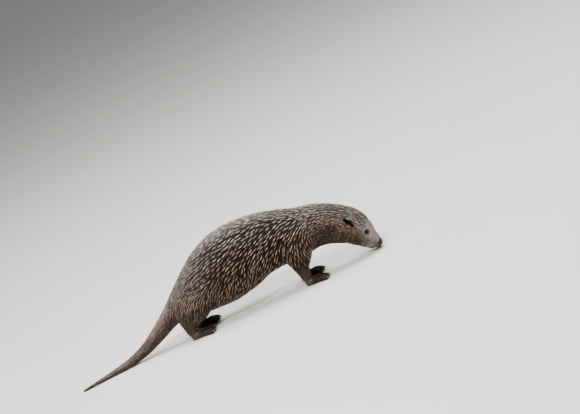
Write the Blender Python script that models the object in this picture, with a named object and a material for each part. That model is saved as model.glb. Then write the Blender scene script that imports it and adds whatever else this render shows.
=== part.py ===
"""Eurasian otter, life size, standing with an arched back, its nose and the end of its tail down at the floor.

Metres, +Z up. The otter faces +X, its left side is +Y, and it stands on the floor at z = 0.
Trunk, neck and tail are lofts along one spine curve. The head, legs and feet are fused from rounded
forms. Each named part is a closed solid, with a fine gap to the parts that it meets.
"""

import math

import bmesh
import bpy
import numpy as np
from mathutils import Matrix, Vector

GAP = 0.0004  # clearance between solids that meet

# The spine, from the nose to the tip of the tail: centre x and z, half depth and half width, out to the
# tips of the coat.
SPINE = {
    "nose": (0.467, 0.0125, 0.0080, 0.0105),
    "lips": (0.460, 0.0190, 0.0172, 0.0200),
    "muzzle": (0.444, 0.0365, 0.0290, 0.0270),
    "eyes": (0.430, 0.0615, 0.0415, 0.0350),
    "cheeks": (0.410, 0.0920, 0.0520, 0.0455),
    "nape": (0.368, 0.1210, 0.0580, 0.0510),
    "neck": (0.322, 0.1385, 0.0635, 0.0535),
    "shoulders": (0.270, 0.1440, 0.0715, 0.0590),
    "chest": (0.206, 0.1545, 0.0840, 0.0660),
    "ribs": (0.140, 0.1600, 0.0945, 0.0710),
    "belly": (0.074, 0.1510, 0.1035, 0.0730),
    "loins": (0.009, 0.1345, 0.0975, 0.0690),
    "hips": (-0.056, 0.1155, 0.0760, 0.0610),
    "rump": (-0.113, 0.0980, 0.0500, 0.0460),
    "tail_root": (-0.161, 0.0790, 0.0315, 0.0335),
    "tail_thick": (-0.207, 0.0545, 0.0245, 0.0270),
    "tail_middle": (-0.261, 0.0290, 0.0185, 0.0205),
    "tail_bend": (-0.317, 0.0138, 0.0140, 0.0150),
    "tail_flat": (-0.373, 0.0088, 0.0095, 0.0105),
    "tail_thin": (-0.431, 0.0056, 0.0062, 0.0072),
    "tail_tip": (-0.475, 0.0030, 0.0034, 0.0036),
}
FULLNESS = 2.25  # exponent of a section's outline: 2 is an ellipse, and more is squarer
TAIL_SWAY = -0.055  # how far the tip of the tail swings to the left, so here to the right
RING_STEP = 0.024
RING_SIDES = 24
TAIL_SIDES = 14

# Where the spine is parted, as (station, share of the way to the next one).
HEAD_CUT = ("cheeks", 0.75)
NECK_CUT = ("neck", 0.75)
TAIL_CUT = ("rump", 0.85)
TIP_CUT = ("tail_middle", 0.40)

EYE_RADIUS = 0.0058
EAR_HEIGHT = 0.019
EAR_WIDTH = 0.030
FOOT_TO_MIDDLE = 0.056  # from the middle plane to the middle of each foot
LEFT_FORE_STEP = -0.014  # how far the left feet stand ahead of the right ones
LEFT_HIND_STEP = 0.010
TOES = ((-23, 0.80), (-11, 0.96), (-1, 1.0), (9, 0.97), (20, 0.86))  # each one's turn and reach


# ---------------------------------------------------------------------------------------------- spine


def cumulative(points):
    """Distance along a row of points."""
    steps = np.linalg.norm(np.diff(points, axis=0), axis=1)
    return np.concatenate([[0.0], np.cumsum(steps)])


def smooth_row(knots, values, at):
    """Values at the places asked for, on a smooth curve through the rows that belong to the knots."""
    slopes = np.gradient(values, knots, axis=0)
    i = np.clip(np.searchsorted(knots, at, side="right") - 1, 0, len(knots) - 2)
    h = (knots[i + 1] - knots[i])[:, None]
    u = (at - knots[i])[:, None] / h
    return (
        (2 * u**3 - 3 * u**2 + 1) * values[i]
        + (u**3 - 2 * u**2 + u) * h * slopes[i]
        + (3 * u**2 - 2 * u**3) * values[i + 1]
        + (u**3 - u**2) * h * slopes[i + 1]
    )


STATION = {name: i for i, name in enumerate(SPINE)}
ROWS = np.array(list(SPINE.values()))
KNOTS = cumulative(ROWS[:, :2])


def spine_at(name, share=0.0):
    """Distance from the nose to a named station, or to a share of the way to the next one."""
    i = STATION[name]
    onward = KNOTS[min(i + 1, len(KNOTS) - 1)] - KNOTS[i]
    return KNOTS[i] + share * onward


def sway(distance):
    """Sideways place of the spine's middle: straight as far as the hips, then a slow curve."""
    start = spine_at("hips")
    share = np.clip((distance - start) / (KNOTS[-1] - start), 0, 1)
    return TAIL_SWAY * share**2


def spine_frames(distances):
    """Centres, backward directions, dorsal directions and half sizes at these distances."""
    distances = np.asarray(distances, float)
    rows = smooth_row(KNOTS, ROWS, distances)
    ahead = smooth_row(KNOTS, ROWS, np.clip(distances + 1e-4, 0, KNOTS[-1]))
    behind = smooth_row(KNOTS, ROWS, np.clip(distances - 1e-4, 0, KNOTS[-1]))
    along = (ahead - behind)[:, :2]
    along /= np.linalg.norm(along, axis=1)[:, None]
    zeros = np.zeros(len(distances))
    centre = np.stack([rows[:, 0], sway(distances), rows[:, 1]], axis=1)
    back = np.stack([along[:, 0], zeros, along[:, 1]], axis=1)
    dorsal = np.stack([along[:, 1], zeros, -along[:, 0]], axis=1)
    return centre, back, dorsal, rows[:, 2], rows[:, 3]


def spine_point(name, share=0.0, lift=0.0, side=0.0):
    """A point near the spine: lift is towards the back and side to the left, in shares of the half sizes."""
    centre, _, dorsal, depth, width = spine_frames([spine_at(name, share)])
    return Vector(centre[0] + dorsal[0] * lift * depth[0]) + Vector((0, side * width[0], 0))


def spine_direction(name, share=0.0):
    """The spine's direction towards the nose."""
    return -Vector(spine_frames([spine_at(name, share)])[1][0])


# --------------------------------------------------------------------------------------- making meshes


def link(name, mesh):
    made = bpy.data.objects.new(name, mesh)
    bpy.context.scene.collection.objects.link(made)
    return made


def rings_to_object(name, rings):
    """A closed body from rings of equal length, with a flat cap on each end."""
    count = len(rings[0])
    bm = bmesh.new()
    rows = [[bm.verts.new(point) for point in ring] for ring in rings]
    for near, far in zip(rows, rows[1:]):
        for k in range(count):
            bm.faces.new((near[k], near[(k + 1) % count], far[(k + 1) % count], far[k]))
    bm.faces.new(rows[0])
    bm.faces.new(rows[-1])
    bmesh.ops.recalc_face_normals(bm, faces=bm.faces)
    mesh = bpy.data.meshes.new(name)
    bm.to_mesh(mesh)
    bm.free()
    return link(name, mesh)


def outline(sides, fullness=2.0):
    """(sideways, upward) shares of a rounded section, as a superellipse."""
    turn = 2 * math.pi * (np.arange(sides) + 0.5) / sides
    c, s = np.cos(turn), np.sin(turn)
    return (
        np.sign(c) * np.abs(c) ** (2 / fullness),
        np.sign(s) * np.abs(s) ** (2 / fullness),
    )


def spine_loft(name, start, end, sides=RING_SIDES, step=RING_STEP):
    """A length of the body, between two distances along the spine."""
    steps = max(2, round((end - start) / step))
    centre, _, dorsal, depth, width = spine_frames(np.linspace(start, end, steps + 1))
    across, up = outline(sides, FULLNESS)
    rings = []
    for c, n, d, w in zip(centre, dorsal, depth, width):
        sideways = np.outer(across * w, (0, 1, 0))
        rings.append(c + sideways + np.outer(up * d, n))
    return rings_to_object(name, rings)


def ball(name, centre, radii, forward=(1, 0, 0), sides=20):
    """An ellipsoid. Its radii are along forward, sideways and upward."""
    bm = bmesh.new()
    bmesh.ops.create_uvsphere(bm, u_segments=sides, v_segments=sides // 2, radius=1)
    ahead = Vector(forward).normalized()
    left = Vector((0, 0, 1)).cross(ahead).normalized()
    turn = Matrix((ahead, left, ahead.cross(left))).transposed().to_4x4()
    place = Matrix.Translation(Vector(centre)) @ turn @ Matrix.Diagonal((*radii, 1))
    bmesh.ops.transform(bm, matrix=place, verts=bm.verts)
    mesh = bpy.data.meshes.new(name)
    bm.to_mesh(mesh)
    bm.free()
    return link(name, mesh)


def limb(name, stations, sides=14, step=0.008):
    """A rounded limb through stations of (x, y, z, fore-and-aft radius, sideways radius)."""
    rows = np.array(stations, float)
    knots = cumulative(rows[:, :3])
    at = np.linspace(0, knots[-1], max(2, round(knots[-1] / step)) + 1)
    path = smooth_row(knots, rows, at)
    ahead = np.gradient(path[:, :3], axis=0)
    across, along = outline(sides)
    rings = []
    for row, way in zip(path, ahead):
        way = Vector(way).normalized()
        side = (Vector((0, 1, 0)) - way * way.y).normalized()
        fore = side.cross(way)
        sideways = np.outer(across * row[4], side)
        rings.append(row[:3] + sideways + np.outer(along * row[3], fore))
    return rings_to_object(name, rings)


def leg(name, slices, sides=14, step=0.0130):
    """A leg from level slices of (z, x at its back, x at its front, middle y, sideways radius)."""
    rows = np.array(slices, float)
    knots = cumulative(rows[:, :3])
    at = np.linspace(0, knots[-1], round(knots[-1] / step) + 1)
    across, along = outline(sides)
    rings = []
    for z, back, front, y, width in smooth_row(knots, rows, at):
        x = (back + front) / 2 + along * (front - back) / 2
        rings.append(np.stack([x, y + across * width, np.full(sides, z)], axis=1))
    return rings_to_object(name, rings)


# ---------------------------------------------------------------------------------- joining and cutting


def settle(obj):
    """Replaces an object's mesh by what its modifiers make of it."""
    bpy.context.view_layer.update()
    graph = bpy.context.evaluated_depsgraph_get()
    made = bpy.data.meshes.new_from_object(obj.evaluated_get(graph))
    obj.modifiers.clear()
    obj.data = made
    return obj


def joined(name, parts):
    """One object that holds all the parts' faces."""
    bm = bmesh.new()
    for part in parts:
        bm.from_mesh(part.data)
        bpy.data.objects.remove(part)
    mesh = bpy.data.meshes.new(name)
    bm.to_mesh(mesh)
    bm.free()
    return link(name, mesh)


def fused(name, parts, voxel, smoothing, triangles):
    """Overlapping parts made one smooth body of about so many triangles."""
    body = joined(name, parts)
    remesh = body.modifiers.new("skin", "REMESH")
    remesh.mode = "VOXEL"
    remesh.voxel_size = voxel
    smooth = body.modifiers.new("smooth", "SMOOTH")
    smooth.factor = 0.5
    smooth.iterations = smoothing
    settle(body)
    faces = sum(len(p.vertices) - 2 for p in body.data.polygons)
    thin_out = body.modifiers.new("thin_out", "DECIMATE")
    thin_out.ratio = min(1.0, triangles / faces)
    return settle(body)


def boolean(obj, operation, other):
    step = obj.modifiers.new(operation.lower(), "BOOLEAN")
    step.operation = operation
    step.object = other
    return settle(obj)


def carved(obj, *cutters):
    """Takes the cutters' forms out of obj, and removes the cutters."""
    for cutter in cutters:
        boolean(obj, "DIFFERENCE", cutter)
        bpy.data.objects.remove(cutter)
    return obj


def grown(obj, by):
    """A copy whose faces stand out by this much."""
    copy = link(obj.name + "_grown", obj.data.copy())
    bm = bmesh.new()
    bm.from_mesh(copy.data)
    bm.normal_update()
    for vert in bm.verts:
        vert.co += vert.normal * by * min(vert.calc_shell_factor(), 1.5)
    bm.to_mesh(copy.data)
    bm.free()
    return copy


def make_room(obj, *guests):
    """Cuts a socket in obj for each guest, with the gap all round."""
    for guest in guests:
        carved(obj, grown(guest, GAP))
    return obj


def block(lowest, highest):
    bm = bmesh.new()
    bmesh.ops.create_cube(bm, size=1)
    size = Vector(highest) - Vector(lowest)
    middle = (Vector(highest) + Vector(lowest)) / 2
    bmesh.ops.transform(
        bm, matrix=Matrix.Translation(middle) @ Matrix.Diagonal((*size, 1)), verts=bm.verts
    )
    mesh = bpy.data.meshes.new("block")
    bm.to_mesh(mesh)
    bm.free()
    return link("block", mesh)


def stand_flat(obj):
    """Cuts off what reaches below the floor, so that the part rests on a small flat."""
    return carved(obj, block((-1, -1, -0.1), (1, 1, 0)))


def keep_side(obj, point, towards):
    """Keeps the side of a plane that lies in the given direction, and closes the cut."""
    bm = bmesh.new()
    bm.from_mesh(obj.data)
    every = bm.verts[:] + bm.edges[:] + bm.faces[:]
    cut = bmesh.ops.bisect_plane(
        bm, geom=every, plane_co=point, plane_no=towards, clear_inner=True
    )
    rim = [e for e in cut["geom_cut"] if isinstance(e, bmesh.types.BMEdge)]
    bmesh.ops.contextual_create(bm, geom=rim)
    bmesh.ops.recalc_face_normals(bm, faces=bm.faces)
    bm.to_mesh(obj.data)
    bm.free()
    return obj


# ------------------------------------------------------------------------------------------- the pieces


def make_head():
    """Skull, cheeks, muzzle, whisker pads and chin, cut off square behind the ears."""
    cut = spine_at(*HEAD_CUT)
    ahead = spine_direction("muzzle", 0.5)
    parts = [
        spine_loft("skull", spine_at("lips", 0.1), cut + 0.03, step=0.006),
        ball("bridge", spine_point("lips", 0.12, lift=0.14), (0.018, 0.0120, 0.0128), ahead),
        ball("lip", spine_point("nose", 0.8, lift=-0.40), (0.0118, 0.0122, 0.0092), ahead),
        ball("chin", spine_point("lips", 0.75, lift=-0.62), (0.016, 0.013, 0.009), ahead),
        ball("crown", spine_point("eyes", 0.75, lift=0.45), (0.032, 0.035, 0.022), ahead),
    ]
    for side in (-1, 1):
        pad = spine_point("lips", 0.36, lift=-0.20, side=0.60 * side)
        cheek = spine_point("eyes", 0.8, lift=-0.35, side=0.62 * side)
        brow = spine_point("eyes", 0.05, lift=0.62, side=0.62 * side)
        parts += [
            ball("pad", pad, (0.0150, 0.0105, 0.0120), ahead),
            ball("cheek", cheek, (0.030, 0.018, 0.024), ahead),
            ball("brow", brow, (0.012, 0.008, 0.007), ahead),
        ]
    head = fused("head", parts, voxel=0.0022, smoothing=6, triangles=900)
    centre, back, *_ = spine_frames([cut])
    return keep_side(head, centre[0], -back[0])


def make_nose():
    """The bare pad at the tip of the muzzle, and the nostrils for the low part of its sides."""
    ahead = spine_direction("nose")
    crown = Vector((-ahead.z, 0, ahead.x))
    at = spine_point("nose", 0.45, lift=0.08)
    pad = ball("nose", at, (0.0078, 0.0106, 0.0086), ahead, sides=12)
    nostrils = []
    for side in (-1, 1):
        low = at - ahead * 0.0020 - crown * 0.0040 + Vector((0, 0.0086 * side, 0))
        nostrils.append(ball("nostril", low, (0.0036, 0.0024, 0.0026), ahead, sides=6))
    return pad, nostrils


def make_eye(name, side):
    at = spine_point("eyes", -0.12, lift=0.35, side=0.86 * side)
    return ball(name, at, (EYE_RADIUS,) * 3, sides=12)


def make_ear(name, side):
    """A small round ear that lies back along the head, and the hollow for its lower face."""
    root = spine_point("cheeks", 0.20, lift=0.31, side=0.90 * side)
    across = Matrix.Rotation(math.radians(10), 3, "Y") @ spine_direction("cheeks", 0.1)
    outward = Vector((0, side, 0))
    crown = across.cross(outward) * side
    up = (outward * 0.54 + crown * 0.76 - across * 0.35).normalized()
    face = up.cross(across).normalized() * side
    across = face.cross(up)
    turn = Matrix((across, face, up)).transposed().to_4x4()

    def cup(label, centre, radii, sides):
        shape = ball(label, (0, 0, 0), radii, sides=sides)
        shape.data.transform(Matrix.Translation(root) @ turn @ Matrix.Translation(centre))
        return shape

    ear = cup(name, (0, 0, EAR_HEIGHT * 0.25), (EAR_WIDTH / 2, 0.0046, EAR_HEIGHT * 0.6), 14)
    hollow_radii = (EAR_WIDTH * 0.37, 0.0044, EAR_HEIGHT * 0.44)
    hollow = cup("hollow", (0, 0.0046, EAR_HEIGHT * 0.38), hollow_radii, 10)
    return ear, hollow


def make_foreleg(name, side, step):
    """Shoulder, upper arm and forearm, down to the wrist."""
    y = FOOT_TO_MIDDLE * side
    return leg(
        name,
        [
            (0.172, 0.220, 0.284, 0.56 * y, 0.018),
            (0.136, 0.207, 0.303, 0.76 * y, 0.026),
            (0.097, 0.203 + step / 2, 0.296 + step / 2, 0.94 * y, 0.026),
            (0.070, 0.212 + step, 0.276 + step, y, 0.0225),
            (0.050, 0.219 + step, 0.261 + step, y, 0.0190),
            (0.028, 0.224 + step, 0.257 + step, y, 0.0155),
            (0.013, 0.229 + step, 0.254 + step, y, 0.0125),
        ],
    )


def make_hindleg(name, side, step):
    """Haunch, knee and shank, down to the hock."""
    y = FOOT_TO_MIDDLE * side
    return leg(
        name,
        [
            (0.144, -0.104, -0.030, 0.44 * y, 0.020),
            (0.108, -0.135, -0.020, 0.70 * y, 0.030),
            (0.078, -0.143, -0.028, 0.88 * y, 0.031),
            (0.056, -0.141 + step / 2, -0.043 + step / 2, 0.97 * y, 0.027),
            (0.044, -0.138 + step, -0.064 + step, y, 0.0235),
            (0.035, -0.1355 + step, -0.092 + step, y, 0.0195),
            (0.022, -0.132 + step, -0.100 + step, y, 0.0155),
            (0.013, -0.129 + step, -0.103 + step, y, 0.0130),
        ],
    )


def make_foot(name, heel, length, width, side):
    """A webbed foot with five toes and their claws, flat on the floor. The first toe is the inner one."""
    root = 0.58 * length
    parts = [
        limb(
            "sole",
            [
                (heel.x, heel.y, 0.0120, 0.0110, 0.0110),
                (heel.x + 0.3 * root, heel.y, 0.0110, 0.0125, 0.0145),
                (heel.x + 0.8 * root, heel.y, 0.0090, 0.0115, 0.40 * width),
                (heel.x + 1.1 * root, heel.y, 0.0080, 0.0090, 0.44 * width),
            ],
        )
    ]
    toes = []
    claws = []
    for number, (turn, reach) in enumerate(TOES):
        turn = math.radians(turn) * side
        way = Vector((math.cos(turn), math.sin(turn), 0))
        start = heel + Vector((0.93 * root, (number - 2) * 0.185 * width * side, 0))
        end = start + way * (length - root) * reach
        middle = (start + end) / 2
        toes.append(middle)
        toe = [
            (start.x, start.y, 0.0100, 0.0065, 0.0062),
            (middle.x, middle.y, 0.0098, 0.0068, 0.0062),
            (end.x, end.y, 0.0052, 0.0056, 0.0058),
        ]
        parts.append(limb("toe", toe, sides=10, step=0.006))
        tip = (end.x, end.y, 0.0046)
        parts.append(ball("tip", tip, (0.0058, 0.0056, 0.0052), way, sides=10))
        tip = end + way * 0.0055
        point = tip + way * 0.0050
        claw = [
            (end.x, end.y, 0.0068, 0.0022, 0.0020),
            (tip.x, tip.y, 0.0060, 0.0016, 0.0014),
            (point.x, point.y, 0.0036, 0.0006, 0.0006),
        ]
        claws.append(limb("claw", claw, sides=4, step=0.0055))
    for near, far in zip(toes, toes[1:]):
        web = (near + far) / 2 + Vector((-0.003, 0, 0.0050))
        parts.append(ball("web", web, (0.016, 0.0075, 0.0026), sides=10))
    foot = fused(name, parts, voxel=0.0016, smoothing=4, triangles=250)
    for claw in claws:
        boolean(foot, "UNION", claw)
        bpy.data.objects.remove(claw)
    return stand_flat(foot)


def painted(obj, name, colour, roughness):
    """Gives a part its own material, and smooth shading over its soft edges."""
    paint = bpy.data.materials.new(name)
    paint.use_nodes = True
    shader = paint.node_tree.nodes["Principled BSDF"]
    shader.inputs["Base Color"].default_value = (*colour, 1)
    shader.inputs["Roughness"].default_value = roughness
    shader.inputs["Metallic"].default_value = 0
    obj.data.materials.clear()
    obj.data.materials.append(paint)
    obj.data.shade_smooth()
    obj.data.set_sharp_from_angle(angle=math.radians(50))
    return obj


def centred(objects):
    """Moves all the parts together, so that the middle of their box stands over the origin."""
    points = np.array([vert.co for obj in objects for vert in obj.data.vertices])
    middle = (points.min(axis=0) + points.max(axis=0)) / 2
    for obj in objects:
        obj.data.transform(Matrix.Translation((-middle[0], -middle[1], 0)))


def build():
    for obj in list(bpy.data.objects):
        bpy.data.objects.remove(obj)

    cuts = [spine_at(*cut) for cut in (HEAD_CUT, NECK_CUT, TAIL_CUT, TIP_CUT)]
    head = make_head()
    neck = spine_loft("neck", cuts[0] + GAP, cuts[1])
    trunk = spine_loft("trunk", cuts[1] + GAP, cuts[2])
    tail_base = spine_loft("tail_base", cuts[2] + GAP, cuts[3], TAIL_SIDES)
    tail_end = spine_loft("tail_end", cuts[3] + GAP, KNOTS[-1], TAIL_SIDES)
    stand_flat(tail_end)

    nose, nostrils = make_nose()
    eyes = [make_eye("eye_right", -1), make_eye("eye_left", 1)]
    ears = []
    for name, side in (("ear_right", -1), ("ear_left", 1)):
        ear, hollow = make_ear(name, side)
        make_room(head, ear)
        ears.append(carved(ear, hollow))
    make_room(head, nose, *eyes)
    carved(nose, *nostrils)

    feet = []
    legs = []
    for word, side, fore_step, hind_step in (
        ("right", -1, 0, 0),
        ("left", 1, LEFT_FORE_STEP, LEFT_HIND_STEP),
    ):
        y = FOOT_TO_MIDDLE * side
        forepaw = make_foot(f"forepaw_{word}", Vector((0.231 + fore_step, y, 0)), 0.068, 0.044, side)
        hindfoot = make_foot(f"hindfoot_{word}", Vector((-0.124 + hind_step, y, 0)), 0.070, 0.047, side)
        foreleg = make_foreleg(f"foreleg_{word}", side, fore_step)
        hindleg = make_hindleg(f"hindleg_{word}", side, hind_step)
        make_room(foreleg, forepaw)
        make_room(hindleg, hindfoot)
        make_room(trunk, foreleg, hindleg)
        make_room(neck, foreleg)
        feet += [forepaw, hindfoot]
        legs += [foreleg, hindleg]

    fur = [head, neck, trunk, tail_base, tail_end, *legs, *ears]
    for obj in fur:
        painted(obj, "wet_fur", (0.13, 0.095, 0.07), 0.5)
    for obj in feet:
        painted(obj, "foot_skin", (0.03, 0.025, 0.022), 0.45)
    painted(nose, "nose_skin", (0.03, 0.025, 0.022), 0.35)
    for obj in eyes:
        painted(obj, "eye", (0.01, 0.008, 0.006), 0.1)
    centred([*fur, *feet, nose, *eyes])


build()
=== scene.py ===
"""Eurasian otter, life size, in its wet coat: the looks around the CAD solids.

Metres, +Z up. The otter faces +X, its left side is +Y and it stands on the floor at z = 0.
"""

import math

import bmesh
import bpy
import numpy as np
from mathutils import Matrix, Vector
from mathutils.bvhtree import BVHTree
from mathutils.kdtree import KDTree


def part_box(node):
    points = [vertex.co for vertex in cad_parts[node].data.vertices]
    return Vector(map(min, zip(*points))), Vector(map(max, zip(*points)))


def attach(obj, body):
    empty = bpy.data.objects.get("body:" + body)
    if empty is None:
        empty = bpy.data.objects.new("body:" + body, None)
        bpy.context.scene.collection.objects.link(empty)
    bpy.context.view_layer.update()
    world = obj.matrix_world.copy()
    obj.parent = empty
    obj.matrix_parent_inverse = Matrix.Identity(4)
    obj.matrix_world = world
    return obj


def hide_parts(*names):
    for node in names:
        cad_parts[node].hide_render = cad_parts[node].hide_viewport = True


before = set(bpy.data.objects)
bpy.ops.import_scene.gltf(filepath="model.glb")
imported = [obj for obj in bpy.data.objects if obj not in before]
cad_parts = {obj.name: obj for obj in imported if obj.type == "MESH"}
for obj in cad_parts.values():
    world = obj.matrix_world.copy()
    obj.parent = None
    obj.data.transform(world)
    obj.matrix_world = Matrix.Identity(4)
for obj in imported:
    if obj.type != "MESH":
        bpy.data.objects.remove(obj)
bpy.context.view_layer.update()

# The line of the body, from the nose to the tip of the tail: centre x and z, half depth and half width
# out to the tips of the coat, and how deep the coat is.
BODY_LINE = {
    "nose": (0.46780, 0.0125, 0.0080, 0.0105, 0.0006),
    "lips": (0.46080, 0.0190, 0.0172, 0.0200, 0.0008),
    "muzzle": (0.44480, 0.0365, 0.0290, 0.0270, 0.0010),
    "eyes": (0.43080, 0.0615, 0.0415, 0.0350, 0.0014),
    "cheeks": (0.41080, 0.0920, 0.0520, 0.0455, 0.0024),
    "nape": (0.36880, 0.1210, 0.0580, 0.0510, 0.0036),
    "neck": (0.32280, 0.1385, 0.0635, 0.0535, 0.0042),
    "shoulders": (0.27080, 0.1440, 0.0715, 0.0590, 0.0050),
    "chest": (0.20680, 0.1545, 0.0840, 0.0660, 0.0056),
    "ribs": (0.14080, 0.1600, 0.0945, 0.0710, 0.0058),
    "belly": (0.07480, 0.1510, 0.1035, 0.0730, 0.0058),
    "loins": (0.00980, 0.1345, 0.0975, 0.0690, 0.0056),
    "hips": (-0.05520, 0.1155, 0.0760, 0.0610, 0.0052),
    "rump": (-0.11220, 0.0980, 0.0500, 0.0460, 0.0044),
    "tail_root": (-0.16020, 0.0790, 0.0315, 0.0335, 0.0036),
    "tail_thick": (-0.20620, 0.0545, 0.0245, 0.0270, 0.0030),
    "tail_middle": (-0.26020, 0.0290, 0.0185, 0.0205, 0.0026),
    "tail_bend": (-0.31620, 0.0138, 0.0140, 0.0150, 0.0022),
    "tail_flat": (-0.37220, 0.0088, 0.0095, 0.0105, 0.0018),
    "tail_thin": (-0.43020, 0.0056, 0.0062, 0.0072, 0.0014),
    "tail_tip": (-0.47420, 0.0030, 0.0034, 0.0036, 0.0010),
}
FULLNESS = 2.25  # exponent of a section's outline: 2 is an ellipse, and more is squarer
TAIL_SWAY = -0.055  # how far the tip of the tail swings out, to the otter's right
# How far the left feet stand ahead of the right ones.
LEFT_FORE_STEP = -0.014
LEFT_HIND_STEP = 0.010
FOOT_TO_MIDDLE = 0.056  # from the middle line of a foot to that of the body
MIDDLE_X = 0.00080  # where the CAD's own x = 0 lies in the frame

# Level slices of the right legs: z, x at the back, x at the front, share of FOOT_TO_MIDDLE, sideways
# radius, and the coat's depth. The last column is how much of the foot's own step the slice takes.
FORELEG = (
    (0.172, 0.220, 0.284, 0.56, 0.018, 0.0050, 0.0),
    (0.136, 0.207, 0.303, 0.76, 0.026, 0.0050, 0.0),
    (0.097, 0.203, 0.296, 0.94, 0.026, 0.0046, 0.5),
    (0.070, 0.212, 0.276, 1.00, 0.0225, 0.0040, 1.0),
    (0.050, 0.219, 0.261, 1.00, 0.0190, 0.0030, 1.0),
    (0.028, 0.224, 0.257, 1.00, 0.0155, 0.0016, 1.0),
    (0.013, 0.229, 0.254, 1.00, 0.0125, 0.0010, 1.0),
)
HINDLEG = (
    (0.144, -0.104, -0.030, 0.44, 0.020, 0.0050, 0.0),
    (0.108, -0.135, -0.020, 0.70, 0.030, 0.0048, 0.0),
    (0.078, -0.143, -0.028, 0.88, 0.031, 0.0044, 0.0),
    (0.056, -0.141, -0.043, 0.97, 0.027, 0.0038, 0.5),
    (0.044, -0.138, -0.064, 1.00, 0.0235, 0.0030, 1.0),
    (0.035, -0.1355, -0.092, 1.00, 0.0195, 0.0022, 1.0),
    (0.022, -0.132, -0.100, 1.00, 0.0155, 0.0014, 1.0),
    (0.013, -0.129, -0.103, 1.00, 0.0130, 0.0010, 1.0),
)
LEGS = {
    "foreleg_right": (FORELEG, -1, 0.0),
    "foreleg_left": (FORELEG, 1, LEFT_FORE_STEP),
    "hindleg_right": (HINDLEG, -1, 0.0),
    "hindleg_left": (HINDLEG, 1, LEFT_HIND_STEP),
}
# Each foot: heel x, length, width, side.
FEET = {
    "forepaw_right": (0.231, 0.068, 0.044, -1),
    "forepaw_left": (0.231 + LEFT_FORE_STEP, 0.068, 0.044, 1),
    "hindfoot_right": (-0.124, 0.070, 0.047, -1),
    "hindfoot_left": (-0.124 + LEFT_HIND_STEP, 0.070, 0.047, 1),
}
TOES = ((-23, 0.80), (-11, 0.96), (-1, 1.0), (9, 0.97), (20, 0.86))  # each toe's turn and reach
TOE_ROOT = 0.58  # share of a foot's length at which its toes begin
EYES = {-1: "eye_right", 1: "eye_left"}
EYE_RADIUS = 0.0058
EAR_HEIGHT = 0.019
EAR_WIDTH = 0.030
# The least height over the floor.
SKIN_OVER_FLOOR = 0.0002
HAIR_OVER_FLOOR = 0.0001
BATCH = 20000  # points measured at a time, which keeps the memory small


# ---------------------------------------------------------------------------------------- the body line


def cumulative(points):
    """Distance along a row of points."""
    steps = np.linalg.norm(np.diff(points, axis=0), axis=1)
    return np.concatenate([[0.0], np.cumsum(steps)])


def smooth_row(knots, values, at):
    """Values at the places asked for, on a smooth curve through the rows that belong to the knots."""
    slopes = np.gradient(values, knots, axis=0)
    i = np.clip(np.searchsorted(knots, at, side="right") - 1, 0, len(knots) - 2)
    h = (knots[i + 1] - knots[i])[:, None]
    u = (at - knots[i])[:, None] / h
    return (
        (2 * u**3 - 3 * u**2 + 1) * values[i]
        + (u**3 - 2 * u**2 + u) * h * slopes[i]
        + (3 * u**2 - 2 * u**3) * values[i + 1]
        + (u**3 - u**2) * h * slopes[i + 1]
    )


STATION = {name: i for i, name in enumerate(BODY_LINE)}
ROWS = np.array(list(BODY_LINE.values()))
KNOTS = cumulative(ROWS[:, :2])
LENGTH = KNOTS[-1]


def spine_at(name, share=0.0):
    """Distance from the nose to a named station, or to a share of the way to the next one."""
    i = STATION[name]
    onward = KNOTS[min(i + 1, len(KNOTS) - 1)] - KNOTS[i]
    return KNOTS[i] + share * onward


def spine_frames(distances):
    """Centres, backward directions, dorsal directions, half sizes and coat depth at these distances."""
    distances = np.asarray(distances, float)
    rows = smooth_row(KNOTS, ROWS, distances)
    ahead = smooth_row(KNOTS, ROWS, np.clip(distances + 1e-4, 0, LENGTH))
    behind = smooth_row(KNOTS, ROWS, np.clip(distances - 1e-4, 0, LENGTH))
    along = (ahead - behind)[:, :2]
    along /= np.linalg.norm(along, axis=1)[:, None]
    start = spine_at("hips")
    sway = TAIL_SWAY * np.clip((distances - start) / (LENGTH - start), 0, 1) ** 2
    zeros = np.zeros(len(distances))
    centre = np.stack([rows[:, 0], sway, rows[:, 1]], axis=1)
    back = np.stack([along[:, 0], zeros, along[:, 1]], axis=1)
    dorsal = np.stack([along[:, 1], zeros, -along[:, 0]], axis=1)
    return centre, back, dorsal, rows[:, 2], rows[:, 3], rows[:, 4]


def spine_point(name, share=0.0, lift=0.0, side=0.0):
    """A point near the spine: lift is towards the back and side to the left, in shares of the half sizes."""
    centre, _, dorsal, depth, width, _ = spine_frames([spine_at(name, share)])
    return Vector(centre[0] + dorsal[0] * lift * depth[0]) + Vector((0, side * width[0], 0))


def spine_direction(name, share=0.0):
    """The spine's direction towards the nose."""
    return -Vector(spine_frames([spine_at(name, share)])[1][0])


def middle_of(node):
    """The middle of a node's box in the frame."""
    low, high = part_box(node)
    return (low + high) / 2


def fade(value, low, high):
    """0 at low, 1 at high, smooth between."""
    share = np.clip((value - low) / (high - low), 0, 1)
    return share * share * (3 - 2 * share)


def hump(value, middle, width):
    """1 at the middle, and falling away smoothly on both sides of it."""
    return np.exp(-(((value - middle) / width) ** 2))


def unit(vectors):
    """Rows of vectors made one long."""
    return vectors / np.maximum(np.linalg.norm(vectors, axis=1), 1e-12)[:, None]


# ---------------------------------------------------------------------------------------- making meshes


def link(name, mesh):
    """A new object of this mesh, in the scene."""
    made = bpy.data.objects.new(name, mesh)
    bpy.context.scene.collection.objects.link(made)
    return made


def closed_rings(rings):
    """Points and faces of a closed body from rings with as many points each."""
    count = len(rings[0])
    faces = []
    for row in range(len(rings) - 1):
        for k in range(count):
            near, following = row * count + k, row * count + (k + 1) % count
            faces.append((near, following, following + count, near + count))
    faces.append(tuple(range(count))[::-1])
    faces.append(tuple(range((len(rings) - 1) * count, len(rings) * count)))
    return np.concatenate(rings), faces


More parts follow.
